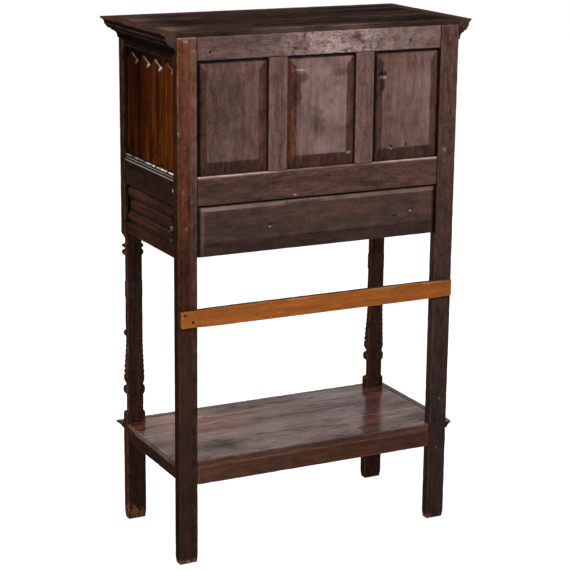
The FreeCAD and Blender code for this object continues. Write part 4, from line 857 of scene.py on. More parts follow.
# Name, both sides, haze (painted sheen on the field), wear of a bevel, dirt (painted shadow) in the slit
# beside it, scrape marks and spots
PANELS = (
    ("left", -IN, -MUNTIN_OUT, 0.31, 0.5, 1, None,
     spots((-164, 1176, 9, 7, 3, 1.0, 0.0), (-170, 1168, 8, 2.5, 0.4, 0.0, 1.0),
           (-166, 1150, 6, 16, 0.6, 0.75, 0.0), (-161, 1196, 7, 12, 0.4, 0.5, 0.0),
           (-195, 998, 2.6, 3, 3, 1.0, 0.0), (-195, 991, 2.4, 2.4, 0.2, 0.0, 1.0),
           (-236, 1000, 3, 3, 3, 1.0, 0.0), (-190, 994, 9, 1.6, 0.3, 0.0, 0.4))),
    ("centre", -MUNTIN_IN, MUNTIN_IN, 0.5, 2.2, 0.3, None,
     # The two pale marks along the top of this field are painted highlights
     spots((58, 1199, 14, 2, 0.5, 0.0, 1.0), (30, 1201, 9, 1.6, 0.4, 0.0, 0.5),
           (56, 1178, 18, 15, 0.5, 0.45, 0.0), (-50, 1188, 22, 9, 0.5, 0.3, 0.0),
           (70, 1150, 13, 36, 0.4, 0.6, 0.0), (10, 1075, 16, 26, 0.3, 0.3, 0.0),
           (-76, 992, 8, 1.8, 0.3, 0.0, 0.9))),
    ("right", MUNTIN_OUT, IN, 0.18, 0.4, 1, scraped, ()),
)
for seed, (name, x0, x1, haze_and_sheen, rub, dirt_and_shade, scrape, marks) in enumerate(PANELS, start=41):
    window = (x0, x1, FLOOR, RAIL_LOW)
    edges_x = [x0, x0 + 3 * MM, x0 + BEVEL, x1 - BEVEL, x1 - 9 * MM, x1 - 11 * MM, x1 - 13 * MM, x1]
    edges_z = [FLOOR, FLOOR + BEVELS[2], RAIL_LOW - BEVELS[3]]
    edges_z += [RAIL_LOW - drop * MM for drop in (11, 9, 7)]
    board(f"back_panel_{name}", (x0 - TONGUE, PANEL_REAR, FLOOR - TONGUE),
          (x1 + TONGUE, PANEL_FACE, RAIL_LOW + TONGUE), "z", "panel", face=(1, 1), marks=marks,
          carve=fielded(window, BEVELS, SLITS, FIELD_RISE, scrape=scrape, dirt_and_shade=(1, dirt_and_shade, 1, 1)),
          look=field_look(window, BEVELS, BEVEL_TONES, haze_and_sheen, seed, FIELD_TONE, rub), round_off=0.6,
          pitch=(1.8, 1.6) if scrape else (3.5, 2.2), wave=0.3, chips=0.5, extra=(edges_x, (), edges_z))
LOW_BEVELS = (13 * MM, 18 * MM, 35 * MM, 15 * MM)
LOW_SLITS = (3 * MM, 9 * MM, -9 * MM, 5 * MM)
LOW_RISE = 5 * MM
LOW_WINDOW = (-IN, IN, BOX, MID_LOW)
LOW_MARKS = spots((132, 833, 5, 3, 2.5, 1.0, 0.0), (135, 828, 2.5, 2.5, 0.3, 0.0, 1.0),
                  (-209, 823, 6, 2.5, 2, 1.0, 0.0), (-252, 832, 2.6, 2.6, 0.5, 0.0, 1.0),
                  (40, 880, 60, 4, 0.5, 0.6, 0.0))
# The bevel tones of the lower panel are painted light and shade as well
LOW_LOOK = field_look(LOW_WINDOW, LOW_BEVELS, (0.5, 0.85, 0.5, 0.9), 0.06, 44, 0.66)


def low_look(points):
    """Wide lower panel: as a raised panel, with painted sheen on the upper and the right bevel."""
    tone, bloom_and_sheen, rubbed_and_lit = LOW_LOOK(points)
    x, _, z = points.T
    down, aside = MID_LOW - z, IN - x
    rim = climb(down, 4 * MM, 3 * MM) * fade(down, 18 * MM, 5 * MM)
    rim = rim * np.interp(x, (-IN, 0, IN), (0.5, 0.7, 1.0))
    edge = 0.6 * climb(aside, 8 * MM, 3 * MM) * fade(aside, 21 * MM, 5 * MM)
    broken = 0.3 + 0.7 * noise_on(x, z, 0.05, 45)
    return tone, np.maximum(bloom_and_sheen, 0.5 * np.maximum(rim, edge) * broken), rubbed_and_lit


lines = ((-IN + LOW_BEVELS[0], IN - LOW_BEVELS[1], IN - 9 * MM), (),
         (BOX + LOW_BEVELS[2], MID_LOW - LOW_BEVELS[3], MID_LOW - 5 * MM))
board("back_lower_panel", (-IN - TONGUE, PANEL_REAR, BOX), (IN + TONGUE, PANEL_FACE, MID_LOW + TONGUE), "x",
      "dark", face=(1, 1), carve=fielded(LOW_WINDOW, LOW_BEVELS, LOW_SLITS, LOW_RISE), marks=LOW_MARKS,
      look=low_look, round_off=0.8, pitch=(5, 3), wave=0.3, chips=1.2, extra=lines)

# Sides: rails, linenfold panel and the panel with lying folds
FOLD_MARGIN = 9 * MM
FOLD_POINT = 17 * MM
RELIEF = FOLD_FACE - FOLD_REAR - 6 * MM
# Levels close together where the folds start and end
FOLD_ENDS = np.concatenate([np.arange(FLOOR, FLOOR + 32 * MM, MM),
                            np.arange(RAIL_LOW - 46 * MM, RAIL_LOW, MM)])


def fold_section(away):
    """Height of a fold from 0 to 1 by the distance from its ridge, 0 on it and 1 in the valley: hollow
    flanks that fall with the power 2.1 from a slightly rounded ridge to 0.45, and a thin bead next to the
    valley."""
    soft = np.sqrt(away * away + 0.0009) - 0.03 * (1 - away)
    bead = 0.05 * bell(away, 0.8, 0.06)
    return 0.45 + 0.55 * np.clip(1 - soft, 0, 1) ** 2.1 + bead


def linen(run, tall, count, point, relief, sill=None, highlighted_folds=9):
    """Linenfold over a run and a height: folds side by side, ended by a zigzag that is highest at each
    ridge. The end cuts slope over 3 mm at a ridge and 8 mm in a valley. On as many of the first folds as
    the last argument gives, the cuts have a painted highlight stroke that ends in a hook down the valley,
    and the valleys and creases get painted shade. sill is the level of a ledge that slopes out to the face
    below the folds, with painted highlights between the ridges and painted shade in the gaps at the ridges."""
    (a0, a1), (b0, b1) = run, tall

    def carve(a, b):
        place = (a - a0) / (a1 - a0) * count
        share = place - np.floor(place)
        away = np.abs(share - 0.5) * 2
        bow = point * away ** 0.8
        top, bottom = b1 - bow, b0 + 0.85 * point * away ** 5
        within = ease(1 + np.minimum(a - a0, a1 - a) / (1.5 * MM))
        cut = (3 + 5 * away) * MM
        upper = np.clip((top - b) / cut, 0, 1)
        lower = np.clip((b - bottom) / (0.6 * cut), 0, 1)
        height = fold_section(away) * np.minimum(upper, lower) * within
        rubbed_and_lit = (upper > 0.02) & (upper < 0.97) & (within > 0.5)
        stroke = climb(share, 0.48, 0.06) * bell(upper, 0.3, 0.14 + 0.3 * np.abs(away - 0.45))
        stroke = stroke * ease(upper / 0.1)
        drop = top - b
        hook = bell(share, 0.95 - 7.5 * drop, 0.045)
        hook = hook * ease(drop / (4 * MM)) * fade(drop, 17 * MM, 8 * MM)
        strength = np.where(place < highlighted_folds, 0.95, 0.12)
        pale = np.where(within > 0.5, strength * np.maximum(stroke, 0.85 * hook), 0)
        worn = 0.5 * bell(away, 0, 0.1) * (height > 0.8)
        crease = np.maximum(0.5 * climb(away, 0.75, 0.2), 0.25 * bell(away, 0.36, 0.07))
        soil_and_shade = np.maximum(0.7 * ease(1 - height / 0.3), crease * (height > 0.1)) * (1 - 0.8 * hook)
        soil_and_shade = np.where(rubbed_and_lit, 0, soil_and_shade)
        if sill is not None:
            rise = np.clip(1 - (b - sill) / (9 * MM), 0, 1) * 0.92
            sloped = (rise > height) & (b < sill + 8 * MM)
            gap = bell(away, 0, 0.12)
            band = climb(b - sill, 2.4 * MM, 1 * MM) * ease((sill + 6.8 * MM - b) / (1.4 * MM))
            pale = np.where(sloped, (1 - gap) * band, pale)
            soil_and_shade = np.where(sloped, np.maximum(gap, 0.8 * (1 - band)), soil_and_shade)
            height = np.where(b < sill - 0.2 * MM, 0.08, np.maximum(height, rise))
        return relief * (1 - height), worn, soil_and_shade, pale
    return carve


LEDGE_FALL = np.array([5.5, 2.4, 3.6, 3.6, 1.8, 0.0, 0.0]) * MM
LEDGE_DROP = np.array([0.0, 4.0, 4.6, 6.2, 6.8, 10.0, 90.0]) * MM


def ledge(a, b):
    """Moulded top edge of the side mid rail: a bevel, a quirk and a second bevel, read from the height.
    Both bevels have painted highlights, and the quirk has painted shade."""
    drop = FLOOR - b
    fall = np.interp(drop, LEDGE_DROP, LEDGE_FALL)
    quirk = bell(drop, 5.4 * MM, 1.1 * MM, 4)
    rubbed_and_lit = bell(drop, 2.4 * MM, 1.1 * MM) + 0.7 * bell(drop, 8.6 * MM, 1.1 * MM)
    return fall, 0 * a, quirk, rubbed_and_lit * (0.65 + 0.35 * noise_on(a, b, 0.012, 51))


LYING = 31 * MM
LYING_TOP = MID_LOW - 3 * MM
LYING_LOW = LYING_TOP - 3 * LYING


def lying_folds(a0, a1):
    """Three rolls lying one above the other over a plain strip: each a broad flattened round with a thin
    lip under it, ended by a curl. The middle one starts further back, the two lower curls have painted
    highlights at the rear, and the hollows between the rolls have painted shade."""
    def carve(a, b):
        place = (b - LYING_LOW) / LYING
        row = np.clip(np.floor(place), 0, 2)
        share = np.clip(place - row, 0, 1)
        roll = np.clip(1 - np.abs((share - 0.52) / 0.46) ** 2.6, 0, 1) ** 0.7 * 0.92
        lip = 0.5 * bell(share, 0.04, 0.06)
        start = a0 + np.where(row == 1, 20 * MM, 2 * MM)
        end = a1 - np.where(row == 2, 1 * MM, np.where(row == 1, 7 * MM, 9 * MM))
        bend = 8 * MM * (np.abs(share - 0.5) * 2) ** 2
        front, rear = a - start - bend, end - a - bend
        reach = np.clip(np.minimum(front, rear) / (5 * MM), 0, 1)
        height = np.maximum(roll, lip) * reach
        height = np.where(place > 3, 0.0, height)
        strip = b < LYING_LOW - 2 * MM
        height = np.where(strip, 0.86, np.where(place < 0, 0.0, height))
        curl = (rear > 0) & (rear < 8 * MM) & (height > 0.15) & (row < 2) & (share < 0.45) & ~strip
        tip = (front > 0) & (front < 6 * MM) & (height > 0.2) & ~strip
        pale = np.where(curl, np.where(row == 1, 0.95, 0.4), np.where(tip, 0.12, 0))
        pale = np.where(~strip & (place > 0), np.maximum(pale, 0.04 * (lip > 0.2) * reach), pale)
        soil_and_shade = np.where(strip, 0, 0.95 * ease(1 - height / 0.45))
        return RELIEF * (1 - height), 0.3 * (roll > 0.9) * reach, soil_and_shade * (pale < 0.5), pale
    return carve


def fold_look(points):
    """Linenfold panel: dark towards the front, warm and streaked towards the rear."""
    y = points[:, 1]
    streak = 0.6 * ripple(points, (1.0, 0.011, 0.16), 903) + 0.4 * ripple(points, (1.0, 0.004, 0.3), 907)
    tone = np.interp(y, (FRONT_IN, -0.035, 0.03, BACK_IN), (0.42, 0.4, 1.2, 1.4))
    return tone * np.clip(0.95 + 1.2 * streak, 0.25, 2.2), 0


def shaded_look(points):
    """Side top rail: painted shade under the cornice."""
    return np.interp(points[:, 2], (RAIL_LOW, RAIL_LOW + 12 * MM), (0.7, 0.45)), 0


def side_look(points):
    """Lower side panel: dark, a little warmer in the middle, and painted light on the upper half of each
    roll.
    """
    _, y, z = points.T
    share = (z - LYING_LOW) / LYING
    lit = np.where(share > 0, 0.6 + 0.9 * bell(share % 1.0, 0.62, 0.2), 0.85)
    warm = 0.55 + 0.4 * bell(y, -30 * MM, 70 * MM)
    return warm * lit * (1 + 0.4 * ripple(points, (1.0, 0.12, 0.004), 910)), 0


for name, side in SIDES:
    low_x, high_x = sorted((side * SIDE_RAIL, side * SIDE_FACE))
    board(f"side_top_rail_{name}", (low_x, FRONT_IN, RAIL_LOW), (high_x, BACK_IN, POST_TOP), "y", "deep",
          look=shaded_look)
    fine = tuple(FLOOR - np.arange(0, 12, 0.6) * MM)
    board(f"side_mid_rail_{name}", (low_x, FRONT_IN, MID_LOW), (high_x, BACK_IN, FLOOR), "y", "deep",
          face=(0, side), carve=ledge, marks=spots((156, 930, 3.5, 3, 0.6, 0.0, 0.9)), round_off=0.5,
          pitch=(6, 5), chips=0.8, wave=0.25, extra=((), (), fine))
    low_x, high_x = sorted((side * FOLD_REAR, side * FOLD_FACE))
    run = (FRONT_IN + FOLD_MARGIN, BACK_IN - FOLD_MARGIN)
    tall = (FLOOR + FOLD_MARGIN, RAIL_LOW - FOLD_MARGIN)
    board(f"side_linenfold_{name}", (low_x, FRONT_IN - TONGUE, FLOOR - TONGUE),
          (high_x, BACK_IN + TONGUE, RAIL_LOW + TONGUE), "z", "warm", face=(0, side),
          carve=linen(run, tall, 4, FOLD_POINT, RELIEF, FLOOR, 3), look=fold_look, round_off=0.6,
          marks=spots((36, 1022, 7, 20, 0.3, 0.85, 0.0), (37, 992, 9, 16, 0.3, 0.7, 0.0)),
          pitch=(5, 1.4), wave=0.2, chips=0.5, extra=((), (), FOLD_ENDS))
    board(f"side_lower_panel_{name}", (low_x, FRONT_IN - TONGUE, BOX),
          (high_x, BACK_IN + TONGUE, MID_LOW + TONGUE), "y", "fold", face=(0, side),
          carve=lying_folds(*run), look=side_look, round_off=0.6, pitch=(2, 1.3), wave=0.2, chips=0.8)

# Front frame, fixed panel, doors and drawer front
for name, z0, z1 in (("top", RAIL_LOW, POST_TOP), ("mid", MID_LOW, FLOOR), ("bottom", BOX, SILL)):
    board(f"front_{name}_rail", (-IN, FRONT, z0), (IN, FRONT_RAIL, z1), "x", "door")
for name, side in SIDES:
    x0, x1 = sorted((side * MUNTIN_IN, side * MUNTIN_OUT))
    board(f"front_stile_{name}", (x0, FRONT, FLOOR), (x1, FRONT_RAIL, RAIL_LOW), "z", "door")
low, high = corners("front_centre_panel")
run = (-MUNTIN_IN + FOLD_MARGIN, MUNTIN_IN - FOLD_MARGIN)
tall = (FLOOR + FOLD_MARGIN, RAIL_LOW - FOLD_MARGIN)
inset = np.array((2 * MM, 0, 2 * MM))
board("front_centre_panel", low + inset, high - inset, "z", "door", face=(1, -1),
      carve=linen(run, tall, 3, FOLD_POINT, RELIEF), round_off=0.6, pitch=(5, 1.4), wave=0.2, chips=0.5,
      extra=((), (), FOLD_ENDS))


# Width of the sloped border of a door's field, and margin, point and relief of its folds
BORDER, DOOR_MARGIN, DOOR_POINT, DOOR_RELIEF = 2.5 * MM, 4 * MM, 11 * MM, 6.5 * MM


def door_face(run, tall):
    """Plank door: a sunk field that holds three folds, with a sloped border."""
    inner = [(start + DOOR_MARGIN, end - DOOR_MARGIN) for start, end in (run, tall)]
    folds = linen(*inner, 3, DOOR_POINT, DOOR_RELIEF)

    def carve(a, b):
        depth, worn, soil_and_shade, pale = folds(a, b)
        inside = np.minimum(np.minimum(a - run[0], run[1] - a), np.minimum(b - tall[0], tall[1] - b))
        sunk = np.clip(inside / BORDER, 0, 1) * (depth + 0.4 * MM)
        field = inside > 2 * MM
        return sunk, np.where(field, worn, 0.6 * bell(inside, 0, BORDER)), soil_and_shade * field, pale * field
    return carve


for name, side in SIDES:
    low, high = corners(f"door_{name}")
    free, hung = (low[0], high[0]) if side > 0 else (high[0], low[0])
    run = tuple(sorted((free + side * 38 * MM, hung - side * 16 * MM)))
    tall = (low[2] + 48 * MM, high[2] - 48 * MM)
    lines = [(start, start + BORDER, end - BORDER, end) for start, end in (run, tall)]
    board(f"door_{name}", low, high, "z", "door", face=(1, -1), carve=door_face(run, tall),
          body=f"door_{name}", round_off=1.2, pitch=(1.8, 1.5), wave=0.25, chips=1.2,
          extra=(lines[0], (), lines[1]))
low, high = corners("drawer_front")
FACE_BEVEL, FACE_SLIT, FACE_RISE = 13 * MM, -9 * MM, 5 * MM
lines = ((low[0] + FACE_BEVEL, high[0] - FACE_BEVEL), (), (low[2] + FACE_BEVEL, high[2] - FACE_BEVEL))
window = (low[0], high[0], low[2], high[2])
board("drawer_front", low, high, "x", "door", face=(1, -1), body="drawer", pitch=(6, 4), extra=lines,
      carve=fielded(window, (FACE_BEVEL,) * 4, (FACE_SLIT,) * 4, FACE_RISE), round_off=0.8, wave=0.25,
      chips=1.2)

# Top board, cornice and shelf edge mouldings
OVER = 34 * MM
TALL = 49 * MM
LIP = 14 * MM
RISE = 18 * MM
# Share of the reach and of the height of each corner, and the bulge of the step that leads to it
CORNICE = ((0, 0, 0), (0.07, 0, 0), (0.07, 0.12, 0), (0.35, 0.35, 0.06), (0.4, 0.35, 0), (0.4, 0.41, 0),
           (0.73, 0.63, -0.07), (0.78, 0.63, 0), (0.78, 0.69, 0), (0.95, 0.9, 0.05), (1, 0.9, 0), (1, 1, 0),
           (0, 1, 0))
SHELF_EDGE = ((0, 0, 0), (0.16, 0, 0), (0.16, 0.12, 0), (0.9, 0.68, 0.1), (1, 0.72, 0), (1, 1, 0),
              (0, 1, 0))


def top_look(points):
    """Top board: lighter and browner along the rear edge and the right side."""
    x, y, _ = points.T
    pale = np.maximum(0.6 * bell(y, BACK, 20 * MM), 0.8 * bell(x, OUT, 55 * MM))
    mottle = noise(points, (0.08, 0.03, 0.05), 904)
    streak = ripple(points, (0.3, 0.03, 0.1), 914) + 0.5 * ripple(points, (0.1, 0.008, 0.1), 915)
    return 0.85 + 0.5 * streak, np.clip(pale * (0.05 + 0.45 * mottle), 0, 1)


board("top_board", (-OUT, FRONT, POST_TOP), (OUT, BACK, TOP), "x", "top", look=top_look, pitch=(9, 6))


def dense(profile, reach, tall, pitch):
    """Profile in metres with close points: a straight step is divided evenly, a bulged one follows the
    parabola (1-t)^2 a + 2t(1-t) m + t^2 b, with m set off to the left of the step by twice the bulge."""
    ends = np.array([row[:2] for row in profile], float) * (reach, tall)
    rows = []
    for place, row in enumerate(profile):
        one, two = ends[place - 1], ends[place]
        way = two - one
        length = np.linalg.norm(way)
        left = np.array((-way[1], way[0])) / length
        middle = 0.5 * (one + two) + left * 2 * row[2] * reach
        count = max(1, int(math.ceil(length / pitch)))
        share = np.linspace(0, 1, count, endpoint=False)[:, None]
        rows.append((1 - share) ** 2 * one + 2 * share * (1 - share) * middle + share ** 2 * two)
    return np.concatenate(rows)


# Angle in degrees from which an edge of a moulding is hard
MOULDING_ARRIS = 28


def moulding(name, profile, reach, tall, base, start, way, out, length, mitres, look):
    """Profile carried along a straight edge: each point of the profile runs from its start to its end,
    longer by its own reach where the edge is mitred, and both ends are closed by the profile itself."""
    seed = next(SEEDS)
    loop = dense(profile, reach, tall, 1.6 * MM)
    first = -loop[:, 0] * mitres[0]
    last = length + loop[:, 0] * mitres[1]
    rows = int(length / (7 * MM))
    run = first + (last - first) * np.linspace(0, 1, rows + 1)[:, None]
    start, way, out = (np.array(item, float) for item in (start, way, out))
    points = start + run[..., None] * way + (np.ones_like(run) * loop[:, 0])[..., None] * out
    points[..., 2] = base + loop[:, 1]
    count = len(loop)
    index = np.arange((rows + 1) * count).reshape(rows + 1, count)
    after = np.roll(index, -1, axis=1)
    quads = np.stack([index[:-1], after[:-1], after[1:], index[1:]], -1).reshape(-1, 4)
    caps = [index[0], index[-1][::-1]]
    turn = np.linalg.det(np.stack([out, np.array([0, 0, 1.0]), way]))
    faces = quads.tolist() if turn > 0 else quads[:, ::-1].tolist()
    faces += [cap.tolist() if turn < 0 else cap[::-1].tolist() for cap in caps]
    points = points.reshape(-1, 3)
    proud = np.tile(loop[:, 0] / reach, rows + 1)
    level = np.tile(loop[:, 1] / tall, rows + 1)
    jut = np.clip((proud - 0.9 * (0.3 + 0.7 * level)) / 0.1, 0, 1)
    bite = np.clip(ripple(points, 0.012, seed) - 0.3, 0, 1) * (proud > 0.95)
    tone, bloom_and_sheen = look(points, level)
    points = points - out * (bite * 2.2 * MM)[:, None]
    points[:, 2] -= bite * 0.8 * MM * (level > 0.95)
    # The dirt of a moulding is painted shade on the low, set-back part of the profile under the part that
    # juts out
    traits = {"wear": np.clip(0.6 * jut + 0.9 * bite, 0, 1.2), "tone": tone, "bloom_and_sheen": bloom_and_sheen,
              "dirt_and_shade": 0.6 * np.clip(1 - proud / 0.3, 0, 1) * (level < 0.6)}
    grain = grain_of(points, "x" if abs(way[0]) > 0.5 else "y", seed)
    add_piece(name, points, faces, grain, traits, "carcass", [name], "deep", MOULDING_ARRIS)


def cornice_look(points, level):
    """Cornice: painted shade over its profile, darkest low down and in its hollows, thin painted highlights
    on its three fillets, browner on its flat top, and a bloom on the end grain at the back."""
    along = noise(points, 0.03, 911)
    lines = sum(bell(level, spot, 0.022) for spot in (0.385, 0.665, 0.95))
    grain_end = bell(points[:, 1], BACK, 1.5 * MM)
    tone = np.maximum(np.where(level > 0.97, 1.15, 0.22 + 0.3 * level + 0.6 * lines), 1.3 * grain_end)
    return tone, np.maximum(0.16 * along * lines * (level < 0.97), 0.025 * grain_end)


def lip_look(points, level):
    """Moulding of the shelf: its flat top as pale as the shelf, with a little of its painted sheen, and the
    profile below darker.
    """
    flat = level > 0.97
    return np.where(flat, 1.5, 0.8), 0.12 * flat


DEEP = BACK - FRONT
CORNICE_BASE = TOP - TALL
LIP_BASE = SHELF - RISE
for name, side in SIDES:
    ends = ((side * OUT, BACK, 0), (0, -1, 0), (side, 0, 0), DEEP, (0, 1))
    moulding(f"cornice_{name}", CORNICE, OVER, TALL, CORNICE_BASE, *ends, cornice_look)
ends = ((-OUT, FRONT, 0), (1, 0, 0), (0, -1, 0), 2 * OUT, (1, 1))
moulding("cornice_front", CORNICE, OVER, TALL, CORNICE_BASE, *ends, cornice_look)
moulding("shelf_moulding_front", SHELF_EDGE, LIP, RISE, LIP_BASE, *ends, lip_look)
ends = ((-OUT, BACK, 0), (0, -1, 0), (-1, 0, 0), DEEP, (0, 1))
moulding("shelf_moulding_left", SHELF_EDGE, LIP, RISE, LIP_BASE, *ends, lip_look)

# Shelf and its rails
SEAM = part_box("shelf_plank_front")[1].y
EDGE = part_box("shelf_plank_front")[1].x


def notched(points):
    """Plank cut round the posts: past the inner faces of the posts its depth ends at them. Below its upper
    edge it touches its neighbour along the seam. The right end of the front plank is worn away underneath,
    5 mm high over 16 mm."""
    points = points.copy()
    beside = np.abs(points[:, 0]) > IN
    points[beside, 1] = np.clip(points[beside, 1], FRONT_IN, BACK_IN)
    x, y, z = points.T
    joint = (np.abs(y - SEAM) < 2.4 * MM) & (z < SHELF - 5 * MM) & (z > SHELF_LOW + 2 * MM)
    points[joint, 1] = SEAM
    ragged = 0.6 + 0.4 * ripple(points, 0.02, 71)
    worn = climb(x, EDGE - 16 * MM, 6 * MM) * climb(y, FRONT_IN, 6 * MM) * fade(y, SEAM, 6 * MM)
    points[:, 2] += 5 * MM * worn * ragged * (z < SHELF_LOW + 6 * MM)
    return points


REAR_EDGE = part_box("shelf_plank_rear")[1].y


def shelf_look(points):
    """Shelf: streaked along the grain with short dark pores, a painted blue-grey sheen that grows to the
    left, orange brown at the front right, a dark, damp-looking patch at the right rear, a painted dark
    reflection along the rear edge towards the left, and dull brown rear and right edges."""
    x, y, _ = points.T
    patch = noise(points, (0.12, 0.06, 0.1), 905)
    broad = noise(points, (0.3, 0.03, 0.1), 906)
    fine = noise(points, (0.11, 0.007, 0.1), 908)
    dash = climb(ripple(points, (0.025, 0.004, 0.1), 912), 0.35, 0.2)
    ragged = noise(points, (0.03, 0.016, 0.1), 917)
    near = bell(x, 0.2, 0.08) * bell(y, 0.115, 0.05)
    rear = 0.7 * climb(y, REAR_EDGE - 26 * MM, 20 * MM) * fade(x, 0.16, 0.2)
    damp_and_reflection = 1.2 * near * (0.2 + ragged) + 0.3 * climb(patch, 0.6, 0.2) * ragged + rear * ragged
    damp_and_reflection = np.clip(damp_and_reflection, 0, 1)
    warm = 0.85 + 1.5 * bell(x, 0.24, 0.12) * bell(y, -0.07, 0.09) * (0.5 + 0.5 * patch)
    tone = warm * (0.15 + 0.7 * broad + 0.75 * fine) * (1 - 0.7 * dash) * (1 - 0.75 * damp_and_reflection)
    strength = np.interp(x, (-OUT, -0.1, 0.15, 0.3), (0.3, 0.2, 0.1, 0.02))
    bloom_and_sheen = strength * (0.1 + 0.95 * patch) * (0.5 + 0.5 * fine) * (1 - 0.6 * dash) * (1 - 0.5 * damp_and_reflection)
    end = np.maximum(climb(y, REAR_EDGE - 1.2 * MM, 0.8 * MM), climb(x, EDGE - 2 * MM, 1.2 * MM))
    return tone + end * (0.5 + 0.25 * fine - tone), bloom_and_sheen * (1 - end)


for name in ("rear", "front"):
    low, high = corners(f"shelf_plank_{name}")
    beside = (-IN - 0.2 * MM, -IN + 0.2 * MM, IN - 0.2 * MM, IN + 0.2 * MM)
    board(f"shelf_plank_{name}", low, high, "x", "shelf", look=shelf_look, shape=notched,
          pitch=(6, 1.8), wave=0.9, chips=3.5, extra=(beside, (), ()))


def shelf_rail_look(points):
    """Rear and front rail of the shelf: a light rubbed line under the plank and a tone that falls to the
    left."""
    line = bell(points[:, 2], SHELF_LOW, 2.5 * MM)
    return np.interp(points[:, 0], (-IN, IN), (0.5, 0.74)), np.maximum(0.09, 0.45 * line)


for name in ("rear", "front"):
    low, high = corners(f"shelf_rail_{name}")
    low[0], high[0] = -IN, IN
    board(f"shelf_rail_{name}", low, high, "x", "red", look=shelf_rail_look)
for name, side in SIDES:
    low, high = corners(f"shelf_rail_{name}")
    low[1], high[1] = FRONT_IN, BACK_IN
    board(f"shelf_rail_{name}", low, high, "y", "deep")

# Batten
low, high = corners("back_batten")
low[0], high[0] = low[0] + 5 * MM, high[0] - 5 * MM
BATTEN_TOP, BATTEN_MIDDLE = high[2], 0.5 * (low[2] + high[2])


def batten_look(points):
    """Batten: painted shade on top, a little darker to the left, and light along parts of its upper arris.
    """
    x, down = points[:, 0], BATTEN_TOP - points[:, 2]
    shaded_top = fade(down, 1.4 * MM, 1.2 * MM)
    light = 0.5 * bell(down, 3 * MM, 1.5 * MM) * ease(ripple(points, 0.06, 916) / 0.4)
    return np.interp(x, (-OUT, 0.0), (0.88, 1.0)) * (1 - 0.82 * shaded_top), light * (1 - shaded_top)


def tapered(points):
    """Batten planed a little narrower towards both ends: a tenth of its height over the last 110 mm."""
    points = points.copy()
    near = climb(np.abs(points[:, 0]), OUT - 110 * MM, 110 * MM)
    points[:, 2] = BATTEN_MIDDLE + (points[:, 2] - BATTEN_MIDDLE) * (1 - 0.1 * near)
    return points


board("back_batten", low, high, "x", "batten", look=batten_look, shape=tapered,
      round_off=1.2, wave=0.3, chips=1.5)

# Nail heads of the hinges
STRAP_FACE = FRONT - 2.5 * MM
AHEAD = ((0, -1, 0), (1, 0, 0))
for name, side in SIDES:
    low, high = corners(f"door_straps_{name}")
    levels = (low[2] + 11 * MM, high[2] - 11 * MM)
    places = [((side * (IN - along * MM), STRAP_FACE, level), *AHEAD)
              for level in levels for along in (34, 66, 97)]
    domes(f"strap_nails_{name}", places, 3.4 * MM, 1.8 * MM, 5, f"door_{name}", "iron")
low, high = corners("hinge_pintles")
places = [((side * (IN + along * MM), STRAP_FACE, base + up * MM), *AHEAD)
          for side in (-1, 1) for base in (low[2], high[2] - 28 * MM) for along, up in ((14, 21), (29, 8))]
domes("pintle_nails", places, 3.0 * MM, 1.8 * MM, 5, "carcass", "iron")

# Nodes that keep their own shape
KEPT = {
    "inner_x": ("cabinet_floor", "door_stops", "drawer_back", "drawer_bottom"),
    "inner_y": ("drawer_runner_left", "drawer_runner_right", "drawer_side_left", "drawer_side_right"),
    "rusted": ("batten_nails",),
    "iron": ("door_straps_left", "door_straps_right", "hinge_pintles", "latch_knob_left",
             "latch_knob_right", "latch_bar_left", "latch_bar_right", "ring_plate", "drawer_ring"),
}
for material, names in KEPT.items():
    for name in names:
        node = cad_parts[name]
        node.data.materials.clear()
        node.data.materials.append(MATERIALS[material])

# Floor, light and camera
scene = bpy.context.scene
scene.view_settings.view_transform = "Standard"
WHITE = (1.0, 1.0, 1.0, 1.0)
FLOOR_SIDES, FLOOR_RADIUS, FLOOR_LEVEL = 96, 40.0, -0.5 * MM


def join(tree, kind, one, two, share=None):
    """Two shaders added together, or mixed by a share."""
    item = add_node(tree, kind, [] if share is None else [(0, share)])
    first = 0 if share is None else 1
    tree.links.new(one, item.inputs[first])
    tree.links.new(two, item.inputs[first + 1])
    return item.outputs[0]


def pale_floor():
    """Large disc that shows white to the camera and still takes a soft shadow."""
    turn = np.linspace(0, 2 * np.pi, FLOOR_SIDES + 1)[:-1]
    mesh = bpy.data.meshes.new("floor")
    ring = np.stack([np.cos(turn), np.sin(turn), 0 * turn], -1) * FLOOR_RADIUS
    ring[:, 2] = FLOOR_LEVEL
    mesh.from_pydata(ring.tolist(), [], [list(range(FLOOR_SIDES))])
    floor = bpy.data.objects.new("floor", mesh)
    scene.collection.objects.link(floor)
    material, tree, _ = new_material("pale_floor")
    tree.nodes.clear()
    matt = add_node(tree, "BsdfDiffuse", [("Color", (0.5, 0.5, 0.5, 1.0))]).outputs[0]
    faint = add_node(tree, "BsdfDiffuse", [("Color", (0.22, 0.22, 0.22, 1.0))]).outputs[0]
    glow = add_node(tree, "Emission", [("Color", WHITE), ("Strength", 0.92)]).outputs[0]
    seen = join(tree, "AddShader", faint, glow)
    choice = join(tree, "MixShader", matt, seen, add_node(tree, "LightPath").outputs["Is Camera Ray"])
    tree.links.new(choice, add_node(tree, "OutputMaterial").inputs[0])
    mesh.materials.append(material)


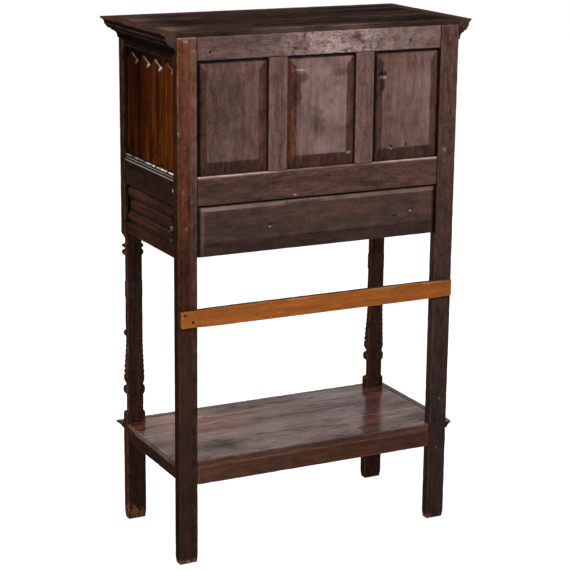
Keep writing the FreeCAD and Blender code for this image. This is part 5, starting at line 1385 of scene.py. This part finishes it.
def studio(strength):
    """World that is white to the camera and in reflections, and lights the rest at the given strength."""
    world = bpy.data.worlds.new("studio")
    world.use_nodes = True
    tree = world.node_tree
    tree.nodes.clear()
    path = add_node(tree, "LightPath").outputs
    mirrored = maths(tree, "MAXIMUM", path["Is Glossy Ray"], path["Is Transmission Ray"])
    seen = maths(tree, "MAXIMUM", path["Is Camera Ray"], mirrored)
    soft = add_node(tree, "Background", [("Color", WHITE), ("Strength", strength)]).outputs[0]
    white = add_node(tree, "Background", [("Color", WHITE), ("Strength", 1.0)]).outputs[0]
    tree.links.new(join(tree, "MixShader", soft, white, seen), add_node(tree, "OutputWorld").inputs[0])
    scene.world = world


def softbox(name, place, target, size, power):
    """Area lamp that looks at a target."""
    lamp = bpy.data.lights.new(name, "AREA")
    lamp.shape = "RECTANGLE"
    lamp.size, lamp.size_y = size
    lamp.energy = power
    holder = bpy.data.objects.new(name, lamp)
    holder.location = place
    holder.rotation_euler = (Vector(target) - Vector(place)).to_track_quat("-Z", "Y").to_euler()
    holder.visible_camera = False
    scene.collection.objects.link(holder)


pale_floor()
studio(0.4)
softbox("back_light", (-0.3, 2.6, 2.7), (0, 0, 0.9), (1.6, 1.2), 60)
softbox("side_light", (2.6, 1.6, 2.0), (0.3, 0, 0.8), (1.2, 1.6), 26)
softbox("top_light", (0, 0, 3.4), (0, 0, 0.6), (2.0, 1.5), 40)
softbox("front_light", (0.9, -3.3, 2.9), (0, 0, 0.7), (2.0, 1.6), 85)
softbox("left_light", (-3.2, 0.3, 1.8), (0, 0, 0.7), (1.6, 1.6), 35)

AZIMUTH, ELEVATION, ROLL = (math.radians(angle) for angle in (153.04, 14.695, 0.586))
TARGET = Vector((4.93, 11.4, 627.4)) * MM
DISTANCE = 4.5725
FOCAL_PIXELS, FRAME_PIXELS = 1806.4, 570
level = math.cos(ELEVATION)
back = Vector((math.sin(AZIMUTH) * level, -math.cos(AZIMUTH) * level, math.sin(ELEVATION)))
right = (-back).cross(Vector((0, 0, 1))).normalized()
up = right.cross(-back)
right, up = math.cos(ROLL) * right + math.sin(ROLL) * up, math.cos(ROLL) * up - math.sin(ROLL) * right
lens = bpy.data.cameras.new("camera")
lens.sensor_width = 36.0
lens.lens = FOCAL_PIXELS * lens.sensor_width / FRAME_PIXELS
camera = bpy.data.objects.new("camera", lens)
camera.matrix_world = Matrix((right, up, back)).transposed().to_4x4()
camera.location = TARGET + back * DISTANCE
scene.collection.objects.link(camera)
scene.camera = camera
